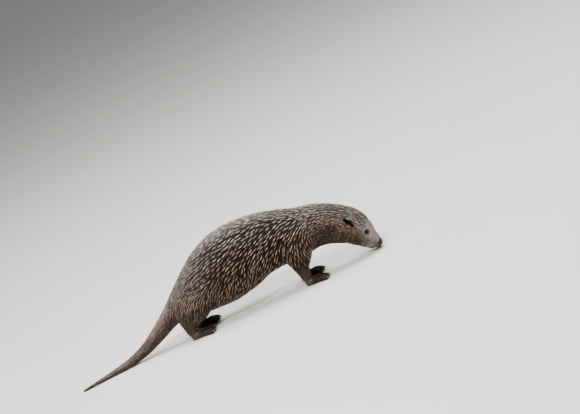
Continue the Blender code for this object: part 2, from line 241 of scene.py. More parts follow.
def round_turn(sides):
    """Angles evenly round a circle."""
    return 2 * math.pi * np.arange(sides) / sides


def outline(sides, fullness=2.0):
    """(sideways, upward) shares of a rounded section, as a superellipse."""
    turn = 2 * math.pi * (np.arange(sides) + 0.5) / sides
    c, s = np.cos(turn), np.sin(turn)
    return np.sign(c) * np.abs(c) ** (2 / fullness), np.sign(s) * np.abs(s) ** (2 / fullness)


def ball(centre, radii, forward=(1, 0, 0), sides=24):
    """An ellipsoid. Its radii are along forward, sideways and upward."""
    ahead = Vector(forward).normalized()
    left = Vector((0, 0, 1)).cross(ahead).normalized()
    axes = np.array([ahead, left, ahead.cross(left)]) * np.array(radii)[:, None]
    turn = np.linspace(0, math.pi, sides // 2 + 1)[1:-1]
    across, up = np.cos(round_turn(sides)), np.sin(round_turn(sides))
    rings = []
    for a in turn:
        ring = np.stack([np.full(sides, math.cos(a)), math.sin(a) * across, math.sin(a) * up], axis=1)
        rings.append(np.array(centre) + ring @ axes)
    return closed_rings(rings)


def limb(stations, sides=18, step=0.004):
    """A rounded limb through stations of (x, y, z, fore-and-aft radius, sideways radius)."""
    rows = np.array(stations, float)
    knots = cumulative(rows[:, :3])
    at = np.linspace(0, knots[-1], max(2, round(knots[-1] / step)) + 1)
    path = smooth_row(knots, rows, at)
    ahead = unit(np.gradient(path[:, :3], axis=0))
    across, along = outline(sides)
    rings = []
    for row, way in zip(path, ahead):
        side = np.array([0.0, 1.0, 0.0]) - way * way[1]
        side /= np.linalg.norm(side)
        fore = np.cross(side, way)
        rings.append(row[:3] + np.outer(across * row[4], side) + np.outer(along * row[3], fore))
    return closed_rings(rings)


def to_object(name, parts):
    """One object from lists of points and faces."""
    points, faces, start = [], [], 0
    for some_points, some_faces in parts:
        points.append(some_points)
        faces += [tuple(start + k for k in face) for face in some_faces]
        start += len(some_points)
    mesh = bpy.data.meshes.new(name)
    mesh.from_pydata(np.concatenate(points).tolist(), [], faces)
    bm = bmesh.new()
    bm.from_mesh(mesh)
    bmesh.ops.recalc_face_normals(bm, faces=bm.faces)
    bm.to_mesh(mesh)
    bm.free()
    return link(name, mesh)


def smooth_object(name, parts):
    """One smoothly shaded object of several closed bodies."""
    made = to_object(name, parts)
    made.data.shade_smooth()
    return made


def settle(obj):
    """Replaces an object's mesh by what its modifiers make of it."""
    bpy.context.view_layer.update()
    graph = bpy.context.evaluated_depsgraph_get()
    made = bpy.data.meshes.new_from_object(obj.evaluated_get(graph))
    obj.modifiers.clear()
    obj.data = made
    return obj


def points_of(mesh):
    """A mesh's points, as rows."""
    co = np.empty(len(mesh.vertices) * 3, np.float32)
    mesh.vertices.foreach_get("co", co)
    return co.reshape(-1, 3).astype(float)


def normals_of(mesh):
    """The direction out of a mesh at each of its points."""
    out = np.empty(len(mesh.vertices) * 3, np.float32)
    mesh.vertex_normals.foreach_get("vector", out)
    return out.reshape(-1, 3).astype(float)


def faces_of(mesh):
    """The numbers of the points round each face."""
    return [tuple(face.vertices) for face in mesh.polygons]


def surface_of(mesh):
    """A mesh's faces, to find the nearest place on."""
    return BVHTree.FromPolygons(points_of(mesh).tolist(), faces_of(mesh))


# ------------------------------------------------------------------------------------------- the flesh


def body_parts():
    """The whole line of the body as one loft, inside the solids by the coat's depth."""
    start, end = spine_at("lips", 0.1), LENGTH - 0.005
    steps = round((end - start) / 0.004)
    across, up = outline(56, FULLNESS)
    rings = []
    for centre, _, dorsal, depth, width, coat in zip(*spine_frames(np.linspace(start, end, steps + 1))):
        sideways = np.outer(across * (width - coat), (0, 1, 0))
        rings.append(centre + sideways + np.outer(up * (depth - coat), dorsal))
    return [closed_rings(rings)]


def head_parts():
    """The forms that stand out on the skull, as thick as in the solids less the short coat there."""
    ahead = spine_direction("muzzle", 0.5)

    def form(place, radii, coat):
        return ball(place, np.array(radii) - coat, ahead)

    parts = [
        form(spine_point("lips", 0.12, lift=0.14), (0.018, 0.0120, 0.0128), 0.0004),
        form(spine_point("nose", 0.8, lift=-0.40), (0.0118, 0.0122, 0.0092), 0.0004),
        form(spine_point("lips", 0.75, lift=-0.62), (0.016, 0.013, 0.009), 0.0008),
        form(spine_point("eyes", 0.75, lift=0.45), (0.032, 0.035, 0.022), 0.0016),
    ]
    for side in (-1, 1):
        parts += [
            form(spine_point("lips", 0.36, lift=-0.20, side=0.60 * side), (0.0150, 0.0105, 0.0120), 0.0004),
            form(spine_point("eyes", 0.8, lift=-0.35, side=0.62 * side), (0.030, 0.018, 0.024), 0.0020),
            form(spine_point("eyes", 0.05, lift=0.62, side=0.62 * side), (0.012, 0.008, 0.007), 0.0008),
        ]
    return parts


def leg_rows(slices, side, step):
    """Rows of (z, x at the back, x at the front, y, sideways radius) of the flesh of one leg."""
    rows = []
    for z, back, front, share, width, coat, follows in slices:
        shift = MIDDLE_X + step * follows
        y = share * FOOT_TO_MIDDLE * side
        rows.append((z, back + shift + coat, front + shift - coat, y, width - coat))
    return np.array(rows)


def leg_part(slices, side, step):
    """A leg's body, from the slices of its table."""
    rows = leg_rows(slices, side, step)
    knots = cumulative(rows[:, :3])
    at = np.linspace(0, knots[-1], round(knots[-1] / 0.005) + 1)
    across, along = outline(32)
    rings = []
    for z, back, front, y, width in smooth_row(knots, rows, at):
        x = (back + front) / 2 + along * (front - back) / 2
        rings.append(np.stack([x, y + across * width, np.full(len(x), z)], axis=1))
    return closed_rings(rings)


def toe_lines(heel_x, length, width, side):
    """For each toe of a foot: where it starts, where it ends and its direction."""
    heel = Vector((heel_x + MIDDLE_X, FOOT_TO_MIDDLE * side, 0))
    root = TOE_ROOT * length
    lines = []
    for number, (turn, reach) in enumerate(TOES):
        turn = math.radians(turn) * side
        way = Vector((math.cos(turn), math.sin(turn), 0))
        start = heel + Vector((0.93 * root, (number - 2) * 0.185 * width * side, 0))
        lines.append((start, start + way * (length - root) * reach, way))
    return lines


def foot_parts(heel_x, length, width, side):
    """Sole, toes with their knuckles, and the webs between the toes."""
    x, y = heel_x + MIDDLE_X, FOOT_TO_MIDDLE * side
    root = TOE_ROOT * length
    parts = [
        limb(
            [
                (x, y, 0.0120, 0.0106, 0.0106),
                (x + 0.3 * root, y, 0.0112, 0.0118, 0.0141),
                (x + 0.8 * root, y, 0.0090, 0.0104, 0.385 * width),
                (x + 1.1 * root, y, 0.0080, 0.0082, 0.42 * width),
            ]
        )
    ]
    lines = toe_lines(heel_x, length, width, side)
    for start, end, way in lines:
        middle = (start + end) / 2
        knuckle = start.lerp(end, 0.30)
        before = start.lerp(end, 0.72)
        parts.append(
            limb(
                [
                    (start.x, start.y, 0.0098, 0.0060, 0.0056),
                    (knuckle.x, knuckle.y, 0.0106, 0.0062, 0.0055),
                    (middle.x, middle.y, 0.0094, 0.0056, 0.0049),
                    (before.x, before.y, 0.0078, 0.0056, 0.0050),
                    (end.x, end.y, 0.0056, 0.0052, 0.0052),
                ],
                step=0.003,
            )
        )
        parts.append(ball((end.x, end.y, 0.0048), (0.0055, 0.0054, 0.0048), way))
        parts.append(ball((before.x, before.y, 0.0040), (0.0060, 0.0052, 0.0040), way))
    for near, far in zip(lines, lines[1:]):
        web = (near[0].lerp(near[1], 0.42) + far[0].lerp(far[1], 0.42)) / 2
        parts.append(ball((web.x, web.y, 0.0056), (0.0125, 0.0062, 0.0019), near[2] + far[2]))
    return parts


NOSE_RADII = np.array([0.0090, 0.0122, 0.0092])
NOSTRIL_END = np.array([0.4600, 0.0192])  # x and z at which the slit behind a nostril ends
NOSTRIL_DEPTH = 0.0020


def nose_frame():
    """The middle of the bare pad of the nose, and its axes: ahead, left and crown."""
    ahead = spine_direction("nose")
    middle = np.array(spine_point("nose", 0.45, lift=0.08)) - np.array(ahead) * 0.0007
    return middle, np.array([ahead, (0.0, 1.0, 0.0), (-ahead.z, 0.0, ahead.x)])


def nose_reach(points):
    """How far out from the nose pad's middle each point lies: 1 on its surface."""
    middle, axes = nose_frame()
    return np.linalg.norm((points - middle) @ axes.T / NOSE_RADII, axis=1)


def nostril_share(points):
    """How much each point lies in the slit that runs back from a nostril: 1 in its middle."""
    middle, axes = nose_frame()
    share = np.zeros(len(points))
    for side in (-1, 1):
        start = middle + (NOSE_RADII * np.array([0.1, 0.90 * side, 0.0])) @ axes
        start = start[[0, 2]]
        slit = NOSTRIL_END - start
        flat = points[:, [0, 2]] - start
        along = np.clip(flat @ slit / (slit**2).sum(), 0, 1)
        gap = np.linalg.norm(flat - along[:, None] * slit, axis=1)
        share = np.maximum(share, np.exp(-((gap / 0.0027) ** 4)) * (points[:, 1] * side > 0.0070))
    return share


# The hollow of an ear, in the ear's own axes.
HOLLOW_AT = (0, 0.0050, EAR_HEIGHT * 0.30)
HOLLOW_RADII = (EAR_WIDTH * 0.42, 0.0064, EAR_HEIGHT * 0.48)
# The dark slot under an ear: x and z of its two ends, and how deep it is pressed in.
SLOT_START, SLOT_END = np.array([0.4060, 0.1235]), np.array([0.4206, 0.0975])
EAR_SLOT_DEPTH = 0.0034


def ear_frame(side):
    """The place of an ear's root, and its axes: across, face and up."""
    root = spine_point("cheeks", 0.20, lift=0.31, side=0.90 * side)
    across = Matrix.Rotation(math.radians(10), 3, "Y") @ spine_direction("cheeks", 0.1)
    outward = Vector((0, side, 0))
    crown = across.cross(outward) * side
    up = (outward * 0.54 + crown * 0.76 - across * 0.35).normalized()
    face = up.cross(across).normalized() * side
    return root, face.cross(up), face, up


def in_ear_axes(points, side):
    """The points as seen from an ear's root: across, towards its face and up."""
    root, *axes = (np.array(v) for v in ear_frame(side))
    return (points - root) @ np.array(axes).T


def ear_part(side):
    """A small round ear, open on its lower face."""
    root, across, face, up = ear_frame(side)
    axes = np.array([across, face, up])

    def cup(centre, radii):
        points, faces = ball((0, 0, 0), radii, sides=32)
        return np.array(root) + (points + np.array(centre)) @ axes, faces

    shell_radii = (EAR_WIDTH / 2 - 0.0005, 0.0040, EAR_HEIGHT * 0.6 - 0.0005)
    ear = to_object("ear", [cup((0, 0, EAR_HEIGHT * 0.25), shell_radii)])
    hollow = to_object("hollow", [cup(HOLLOW_AT, HOLLOW_RADII)])
    cut = ear.modifiers.new("hollow", "BOOLEAN")
    cut.operation = "DIFFERENCE"
    cut.object = hollow
    settle(ear)
    bpy.data.objects.remove(hollow)
    made = points_of(ear.data), faces_of(ear.data)
    bpy.data.objects.remove(ear)
    return made


def flesh():
    """One closed skin from all the forms of the body."""
    parts = body_parts() + head_parts()
    for leg in LEGS.values():
        parts.append(leg_part(*leg))
    for foot in FEET.values():
        parts += foot_parts(*foot)
    for side in (-1, 1):
        parts.append(ear_part(side))
    skin = to_object("skin", parts)
    remesh = skin.modifiers.new("skin", "REMESH")
    remesh.mode = "VOXEL"
    remesh.voxel_size = 0.0016
    smooth = skin.modifiers.new("smooth", "SMOOTH")
    smooth.factor = 0.5
    smooth.iterations = 6
    return settle(skin)


# --------------------------------------------------------------------------------- where on the animal


SAMPLES = np.linspace(0, LENGTH, 420)
SAMPLE_FRAMES = spine_frames(SAMPLES)


def site(points):
    """Where points are: how far along the spine, angle from the back's middle, side, axes there and girth."""
    centre, back, dorsal, depth, width, _ = SAMPLE_FRAMES
    near = np.empty(len(points), int)
    for start in range(0, len(points), BATCH):
        part = points[start : start + BATCH]
        gap = part[:, None, [0, 2]] - centre[None, :, [0, 2]]
        near[start : start + BATCH] = np.argmin((gap**2).sum(axis=2), axis=1)
    offset = points - centre[near]
    lift = (offset * dorsal[near]).sum(axis=1) / depth[near]
    across = offset[:, 1] / width[near]
    s = SAMPLES[near] + (offset * back[near]).sum(axis=1)
    return {
        "s": np.clip(s, 0, LENGTH),
        "angle": np.arctan2(np.abs(across), lift),
        "side": np.where(across < 0, -1.0, 1.0),
        "back": back[near],
        "dorsal": dorsal[near],
        "girth": (depth[near] + width[near]) / 2,
    }


def leg_share(points):
    """For each leg: how much a point belongs to it, the leg's way down there, and the angle around it."""
    found = []
    for slices, side, step in LEGS.values():
        rows = leg_rows(slices, side, step)
        top = rows[0, 0]
        z = np.clip(points[:, 2], rows[-1, 0], top)
        order = rows[::-1]
        back, front, y, width = (np.interp(z, order[:, 0], order[:, k]) for k in (1, 2, 3, 4))
        middle, half = (back + front) / 2, (front - back) / 2
        reach = np.hypot((points[:, 0] - middle) / half, (points[:, 1] - y) / width)
        share = fade(reach, 1.7, 1.15) * fade(points[:, 2], top + 0.005, top - 0.075)
        below = np.interp(z - 0.006, order[:, 0], (order[:, 1] + order[:, 2]) / 2)
        down = unit(np.stack([below - middle, np.zeros(len(z)), np.full(len(z), -0.006)], axis=1))
        turn = np.arctan2((points[:, 1] - y) / width, (points[:, 0] - middle) / half)
        found.append((share, down, turn))
    return found


def ear_share(points, sunk=0.0036):
    """How deep each point lies in the slot under an ear: 1 is inside it. Sunk is how far in the skin was."""
    share = np.zeros(len(points))
    slot = SLOT_END - SLOT_START
    flat = points[:, [0, 2]]
    along = np.clip((flat - SLOT_START) @ slot / (slot**2).sum(), 0, 1)
    gap = np.linalg.norm(flat - SLOT_START - along[:, None] * slot, axis=1)
    within = fade(gap, 0.0064 - 0.0018 * along, 0.0048 - 0.0016 * along)
    for side in (-1, 1):
        outward = in_ear_axes(points, side)[:, 1]
        inner = fade(outward, -0.0012 - sunk, 0.0004 - sunk) * (points[:, 1] * side > 0.030)
        share = np.maximum(share, within * inner)
    return share


def ear_cup(points):
    """How much each point lies in the open cup of an ear's flap."""
    share = np.zeros(len(points))
    for side in (-1, 1):
        offset = in_ear_axes(points, side) - HOLLOW_AT
        share = np.maximum(share, fade(np.linalg.norm(offset / np.array(HOLLOW_RADII), axis=1), 1.16, 1.02))
    return share


def ear_cover(points, side):
    """How much each point lies on the flap of an ear."""
    offset = in_ear_axes(points, side) - np.array([0, 0, EAR_HEIGHT * 0.30])
    reach = np.linalg.norm(offset / np.array([EAR_WIDTH * 0.54, 0.0060, EAR_HEIGHT * 0.62]), axis=1)
    return fade(reach, 1.25, 1.0) * fade(offset[:, 2], -EAR_HEIGHT * 0.25, 0)


def foot_share(points):
    """How much each point belongs to a foot."""
    share = np.zeros(len(points))
    for heel_x, length, width, side in FEET.values():
        x = points[:, 0] - heel_x - MIDDLE_X
        y = points[:, 1] - FOOT_TO_MIDDLE * side
        near = fade(np.abs(y), width, width * 0.7) * fade(x, -0.03, -0.018)
        near *= fade(x, length + 0.03, length + 0.015)
        share = np.maximum(share, near * fade(points[:, 2], 0.030, 0.017))
    return share


def by_station(s, values):
    """Values given for each station of the body line, at the distances s."""
    return np.interp(s, KNOTS, values)


# What the coat is like at each station: least distance between locks, length of a lock, how far its tip
# stands off the skin, all in mm, how far the lie slants down the side in degrees, and how spiky it is.
COAT = {
    "nose": (1.1, 3.6, 0.15, 0, 0.0),
    "lips": (1.15, 5.0, 0.2, 0, 0.0),
    "muzzle": (1.7, 7.5, 0.35, 4, 0.2),
    "eyes": (2.8, 13.0, 0.8, 8, 0.45),
    "cheeks": (4.6, 20.0, 1.6, 14, 0.6),
    "nape": (4.2, 20.0, 1.9, 20, 0.6),
    "neck": (4.6, 22.0, 2.4, 28, 0.75),
    "shoulders": (6.0, 24.0, 3.3, 42, 0.95),
    "chest": (6.4, 25.0, 3.4, 36, 1.0),
    "ribs": (6.6, 26.0, 3.3, 24, 1.0),
    "belly": (6.6, 26.0, 3.3, 17, 1.0),
    "loins": (6.1, 25.0, 3.3, 12, 0.95),
    "hips": (5.0, 24.0, 2.9, 9, 0.9),
    "rump": (4.4, 22.0, 2.2, 8, 0.75),
    "tail_root": (3.9, 20.0, 1.6, 8, 0.55),
    "tail_thick": (3.2, 19.0, 1.5, 8, 0.45),
    "tail_middle": (2.9, 18.0, 1.3, 6, 0.45),
    "tail_bend": (2.6, 16.0, 1.1, 4, 0.4),
    "tail_flat": (2.2, 14.0, 0.9, 2, 0.4),
    "tail_thin": (1.8, 12.0, 0.7, 0, 0.4),
    "tail_tip": (1.3, 9.0, 0.5, 0, 0.4),
}
COAT_ROWS = np.array([COAT[name] for name in BODY_LINE])
# Places with a coat of their own: spacing, length and stand in mm.
CROWN_COAT = (5.0, 26.0, 1.5)
SHIN_COAT = (2.3, 9.0, 0.7)
FOOT_COAT = (1.5, 5.0, 0.08)
EAR_COAT = (1.5, 6.0, 0.2)
LID_COAT = (1.4, 4.5, 0.15)
TOE_WAY = np.array([0.92, 0.0, -0.38])  # the lie of the hair on the feet


def ripple(points, size):
    """A smooth uneven pattern over the animal, mostly between -1 and 1, with swells about this far apart."""
    rng = np.random.default_rng(3)
    total = np.zeros(len(points))
    for _ in range(7):
        wave = unit(rng.normal(size=(1, 3)))[0] * 2 * math.pi / size * rng.uniform(0.6, 1.5)
        total += np.sin(points @ wave + rng.uniform(0, 2 * math.pi))
    return total / 2.6


def streaks(here):
    """Fine long streaks along the coat, lighter and darker, a few mm apart."""
    around = here["angle"] * here["girth"] * here["side"]
    return ripple(np.stack([here["s"] * 0.12, around, np.zeros(len(around))], axis=1), 0.0048)


def sized(sizes, own, share):
    """Spacing, length and stand moved by a share towards those of a place with a coat of its own."""
    return sizes * (1 - share) + np.array(own)[:, None] * share


def turned(lie, way, share):
    """The lie of the hair turned by a share to another way."""
    return lie * (1 - share)[:, None] + way * share[:, None]


def gap_to_eye(points, side):
    """How far each point is from the middle of an eye."""
    return np.linalg.norm(points - np.array(middle_of(EYES[side])), axis=1)


def coat_at(points, normals):
    """The coat at these points of the skin: its sizes, spikiness and lie, and where on the animal it is."""
    here = site(points)
    s, angle = here["s"], here["angle"]
    *sizes, slant, spiky = (by_station(s, column) for column in COAT_ROWS.T)
    degrees = np.degrees(angle)
    ridge = fade(degrees, 48, 14)  # the middle of the back, where the coat lies smoother
    low = fade(degrees, 78, 120) * fade(degrees, 176, 140)  # the lower side, where it slants further down
    trunk = fade(s, spine_at("neck"), spine_at("chest")) * fade(s, spine_at("rump"), spine_at("loins"))
    turn = np.radians(slant * fade(degrees, 8, 85) * fade(degrees, 185, 130) + 26 * low * trunk)
    around = -here["dorsal"] * np.sin(angle)[:, None]
    around[:, 1] += here["side"] * np.cos(angle)
    turn += np.radians(9) * ripple(points, 0.045) * fade(s, spine_at("muzzle"), spine_at("nape"))
    lie = here["back"] * np.cos(turn)[:, None] + around * np.sin(turn)[:, None]
    top = fade(degrees, 82, 58) * fade(s, spine_at("muzzle", 0.5), spine_at("eyes", 0.5))
    top *= fade(s, spine_at("shoulders"), spine_at("neck"))  # of the head and neck
    crown = top * fade(s, spine_at("neck"), spine_at("cheeks"))
    sizes = sized(np.array(sizes), CROWN_COAT, crown)
    spiky = np.maximum(spiky * (1 - crown), 0.85 * top)
    sizes[0] *= (1 - 0.25 * ridge * trunk) * (1 + 0.12 * ripple(points + 0.7, 0.03))
    sizes[2] *= 1 - 0.45 * ridge
    spiky *= 1 - 0.45 * ridge * trunk

    on_leg = np.zeros(len(points))
    for share, down, _ in leg_share(points):
        lie = turned(lie, down, share)
        on_leg = np.maximum(on_leg, share)
    on_shin = on_leg * fade(points[:, 2], 0.085, 0.030)
    on_foot = foot_share(points)
    sizes = sized(sized(sizes, SHIN_COAT, on_shin), FOOT_COAT, on_foot)
    spiky = spiky * (1 - 0.7 * on_shin)
    apart = np.zeros(len(points))
    for side in (-1, 1):
        on_ear = ear_cover(points, side)
        sizes = sized(sizes, EAR_COAT, on_ear)
        spiky = spiky * (1 - on_ear)
        lie = turned(lie, np.array(ear_frame(side)[3]), 0.6 * on_ear)
        gap = gap_to_eye(points, side)
        by_eye = fade(gap, 0.024, 0.016)
        sizes = sized(sizes, LID_COAT, by_eye)
        spiky = spiky * (1 - by_eye)
        apart = np.maximum(apart, np.maximum(on_ear, fade(gap, 0.034, 0.022)))
    lie = turned(lie, TOE_WAY, on_foot)
    lie -= normals * (lie * normals).sum(axis=1)[:, None]
    spacing, length, stand = sizes / 1000
    return {
        **here,
        "spacing": spacing,
        "length": length,
        "stand": stand,
        "spiky": spiky,
        "combed": np.maximum(crown * (1 - apart), 0.8 * ridge * trunk),
        "crown": crown,
        "lie": unit(lie),
        "on_leg": on_leg,
        "on_foot": on_foot,
    }


# Rings round each eye, out from its middle: the bare rim of the lids, and the fold of skin and the furrow
# behind them. The furrow's shade lies a little further out than its deepest line.
EYE_RIM = 0.0079
EYE_FOLD = 0.0117
EYE_FURROW = 0.0152
FURROW_SHADE = 0.0158
WHISKER_ROW_PITCH = 0.0047  # from one row of whiskers to the next, round the muzzle


def eye_markings(points, side):
    """Shares of what lies round an eye: a painted highlight on the fold, painted shade in the furrow behind
    it, and the dark rim and inner corner.
    """
    middle, out, along, up = (np.array(v) for v in eye_axes(side))
    a, c = (points - middle) @ along, (points - middle) @ up * np.sign(up[2])
    turn, wide = np.degrees(np.arctan2(c, -a)), np.hypot(a, c)
    close = ((points - middle) @ out > -0.010).astype(float)
    behind = fade(turn, -130, -100) * fade(turn, 55, 25) * close
    above = fade(turn, 20, 50) * fade(turn, 170, 140) * close
    fold = hump(wide, EYE_FOLD, 0.0015) * np.maximum(behind, 0.8 * above)
    furrow = 1.5 * hump(wide, FURROW_SHADE, 0.0021) * behind
    rim = 0.8 * hump(wide, EYE_RIM, 0.0012) * close
    corner = fade(a, 0.0050, 0.0065) * fade(a, 0.0140, 0.0090)
    corner *= fade(np.abs(c + 0.0008 + 0.1 * a), 0.0026, 0.0012)
    return fold, furrow, rim, corner * close


def markings(points, here):
    """The otter's markings, for skin and coat alike: tan, grey and dark shares. Part of the grey is a painted
    sheen on the upper side and a painted highlight on the fold by each eye, and part of the dark is painted
    shade in the furrow behind it.
    """
    s, degrees = here["s"], np.degrees(here["angle"])
    front = fade(s, spine_at("shoulders"), spine_at("neck", 0.3))
    tail = fade(s, spine_at("tail_root", 0.5), spine_at("tail_middle"))
    # Tan: the throat, the belly and the insides of the legs.
    throat = front * fade(degrees, 60, 105) * fade(s, spine_at("lips"), spine_at("muzzle", 0.6))
    below = 0.55 * fade(degrees, 95, 150) * fade(s, spine_at("tail_root"), spine_at("hips")) * (1 - front)
    tan = np.maximum(throat, below)
    tan = np.maximum(tan, 0.40 * here["on_leg"] * fade(points[:, 2], 0.02, 0.07))
    # Grey, lighter where the hair is smoother: the back, the crown and the muzzle, and little on the tail. On
    # the upper side it is partly the coat's own grey and partly a painted sheen.
    grey = fade(degrees, 98, 24) * 0.85
    grey = np.maximum(grey, 1.1 * fade(degrees, 88, 62) * fade(s, spine_at("neck"), spine_at("cheeks")))
    grey = np.maximum(grey, fade(s, spine_at("eyes", 0.1), spine_at("muzzle", 0.3)) * fade(degrees, 130, 78))
    grey = np.maximum(grey * (1 - 0.7 * tail), tail * fade(degrees, 130, 80) * 0.15)
    # Dark: the tail and its tip, under the neck, the sides of the nape, and down the legs.
    dark = fade(s, spine_at("tail_flat", 0.1), spine_at("tail_thin", 0.7))
    dark = np.maximum(dark, tail * (0.25 + 0.5 * fade(degrees, 95, 150)))
    dark = np.maximum(dark, front * fade(degrees, 85, 125) * 0.8)
    nape = fade(s, spine_at("shoulders", -0.4), spine_at("neck"))
    nape *= fade(s, spine_at("cheeks", 0.5), spine_at("nape"))
    dark = np.maximum(dark, nape * fade(degrees, 60, 104) * 0.85)
    dark = np.maximum(dark, 0.85 * here["on_leg"] * fade(points[:, 2], 0.115, 0.05))
    # Round the eyes: a painted highlight on the fold and painted shade in the furrow behind it, the dark rims
    # and the inner corners. And the grey flaps of the ears.
    uneven = 0.90 + 0.20 * ripple(points, 0.011)
    for side in (-1, 1):
        fold, furrow, rim, corner = eye_markings(points, side)
        grey = np.maximum(grey, 0.6 * fold * uneven)
        dark = np.maximum(dark, furrow * uneven)
        dark = np.maximum(dark, rim)
        dark = np.maximum(dark * (1 - 0.5 * fold), corner)
        grey = np.maximum(grey, 0.9 * ear_cover(points, side))
    # Dark again: the rows of the whisker pads, the jaw, the tail's root, round the nose, and the feet.
    pads = fade(degrees, 58, 80) * fade(degrees, 165, 140)
    pads *= fade(s, spine_at("muzzle", 0.7), spine_at("lips", 0.8))
    rows = 0.5 + 0.5 * np.cos(here["angle"] * here["girth"] * 2 * math.pi / WHISKER_ROW_PITCH)
    dark = np.maximum(dark, 0.6 * pads * rows**2)
    jaw = fade(s, spine_at("cheeks", 0.3), spine_at("muzzle", 0.9)) * fade(degrees, 72, 101)
    dark = np.maximum(dark, jaw * (0.80 + 0.24 * ripple(points, 0.016)))
    tail_side = 0.8 * fade(degrees, 55, 105) * fade(s, spine_at("rump", 0.2), spine_at("tail_root", 0.1))
    dark = np.maximum(dark, tail_side)
    dark = np.maximum(dark, 0.85 * fade(nose_reach(points), 1.65, 1.15))
    dark = np.maximum(dark, 0.9 * here["on_foot"])
    return np.stack([tan, grey * (1 - 0.8 * here["on_foot"]), np.clip(dark, 0, 1)], axis=1)


# ----------------------------------------------------------------------------------------- skin's detail


def thin_out(skin, share):
    """Fewer, larger faces on the trunk, tail and legs, which the coat covers. Head and feet keep theirs."""
    points = points_of(skin.data)
    head = points[:, 0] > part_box("head")[0].x + 0.012
    feet = (points[:, 2] < 0.034) & (np.abs(points[:, 1]) > 0.028) & (points[:, 0] > -0.16)
    group = skin.vertex_groups.new(name="thin_out")
    group.add(np.nonzero(~(head | feet))[0].tolist(), 1.0, "REPLACE")
    step = skin.modifiers.new("thin_out", "DECIMATE")
    step.ratio = share
    step.vertex_group = "thin_out"
    settle(skin)
    skin.vertex_groups.clear()


def refine(skin, places):
    """Halves the edges near these places, each (centre, radius), and smooths what comes of it."""
    bm = bmesh.new()
    bm.from_mesh(skin.data)

    def near():
        return [v for v in bm.verts if any((v.co - centre).length < radius for centre, radius in places)]

    inside = set(near())
    edges = [edge for edge in bm.edges if edge.verts[0] in inside and edge.verts[1] in inside]
    bmesh.ops.subdivide_edges(bm, edges=edges, cuts=1, use_grid_fill=True)
    bmesh.ops.triangulate(bm, faces=[face for face in bm.faces if len(face.verts) > 4])
    around = near()
    for _ in range(3):
        bmesh.ops.smooth_vert(bm, verts=around, factor=0.5, use_axis_x=True, use_axis_y=True, use_axis_z=True)
    bm.to_mesh(skin.data)
    bm.free()


def eye_axes(side):
    """An eye's middle, the way that it looks, and the axes of its lids: along and up."""
    middle = middle_of(EYES[side])
    ahead = spine_direction("eyes", -0.12)
    crown = Vector((-ahead.z, 0, ahead.x))
    out = (Vector((0, side * 0.84, 0)) + ahead * 0.26 + crown * 0.40).normalized()
    along = (ahead - out * ahead.dot(out)).normalized()
    return middle, out, along, out.cross(along) * side


# The opening between the lids: half its length, and its height above and below the middle.
LID_HALF_LENGTH, UPPER_LID, LOWER_LID = 0.0050, 0.0034, 0.0031


def set_lids(points, bare):
    """Lids that hug the eyeballs, a crease round them, and a fold behind and below each eye. The opening is 1
    along the lids' rim, and how bare the skin is there goes into bare."""
    for side in (-1, 1):
        middle, out, along, up = (np.array(v) for v in eye_axes(side))
        if up[2] < 0:
            up = -up
        offset = points - middle
        reach = np.linalg.norm(offset, axis=1)
        way = offset / reach[:, None]
        facing = way @ out
        a, c = offset @ along, offset @ up
        opening = np.hypot(a / LID_HALF_LENGTH, c / np.where(c > 0, UPPER_LID, LOWER_LID))
        near = (facing > 0.12) & (reach < 0.022)
        points += out * np.where(near, 0.0011 * fade(opening, 3.6, 2.0), 0)[:, None]
        lid = EYE_RADIUS + 0.0004 + 0.0010 * fade(opening, 1.0, 1.3)
        target = np.where(opening < 1.0, EYE_RADIUS * 0.82, lid)
        share = np.where(near, fade(opening, 2.3, 1.4), 0)
        moved = middle + way * target[:, None]
        points[:] = points + (moved - points) * share[:, None]
        bare[:] = np.maximum(bare, np.where(near, fade(opening, 1.65, 1.35), 0))
        crease = np.where(near, hump(opening, 1.9, 0.18) * np.where(c > 0, 0.0008, 0.0005), 0)
        turn = np.degrees(np.arctan2(c, -a))  # 0 behind the eye, -90 below it
        span = fade(turn, -125, -90) * fade(turn, 50, 20)
        wide = np.hypot(a, c)
        fold = 0.0016 * hump(wide, EYE_FURROW, 0.0014) - 0.0011 * hump(wide, EYE_FOLD, 0.0014)
        fold = np.where(near | ((facing > 0) & (reach < 0.024)), fold * span, 0)
        points -= out * (crease + fold)[:, None]


def set_nose(points):
    """Skin sunk under the nose pad, with a crease round it."""
    middle, _ = nose_frame()
    reach = nose_reach(points)
    sunk = np.where(reach < 1.0, np.minimum(reach, 0.86), reach - 0.14 * hump(reach, 1.0, 0.10))
    points[:] = middle + (points - middle) * (sunk / np.maximum(reach, 1e-6))[:, None]


# Points by the parting of the lips on the right side, from the middle back to the corner.
LIPS_GUIDE = (
    (0.4490, 0.0, 0.0030),
    (0.4440, -0.0080, 0.0065),
    (0.4370, -0.0160, 0.0150),
    (0.4290, -0.0230, 0.0260),
    (0.4225, -0.0260, 0.0375),
)


def both_sides(line):
    """A line on the right side, followed by its mirror image on the left."""
    return np.concatenate([line, line * np.array([1, -1, 1])])


def mouth_line(surface):
    """The parting of the lips on the right side, from the middle back to the corner, laid on the skin."""
    line = [surface.find_nearest(Vector(point))[0] for point in LIPS_GUIDE]
    knots = cumulative(np.array(line))
    return smooth_row(knots, np.array(line), np.linspace(0, knots[-1], 40))


def set_mouth(points, normals, line):
    """A groove between the lips, with the upper lip hanging a little over the lower."""
    both = both_sides(line)
    gap = np.full(len(points), 1.0)
    near = np.nonzero(points[:, 0] > spine_point("cheeks").x - 0.01)[0]
    for start in range(0, len(near), BATCH):
        part = near[start : start + BATCH]
        gap[part] = np.sqrt(((points[part][:, None] - both[None]) ** 2).sum(axis=2).min(axis=1))
    points -= normals * (0.0016 * hump(gap, 0, 0.0009))[:, None]
    points += normals * (0.0005 * hump(gap, 0.0028, 0.0014))[:, None]
    return fade(gap, 0.0022, 0.0006)


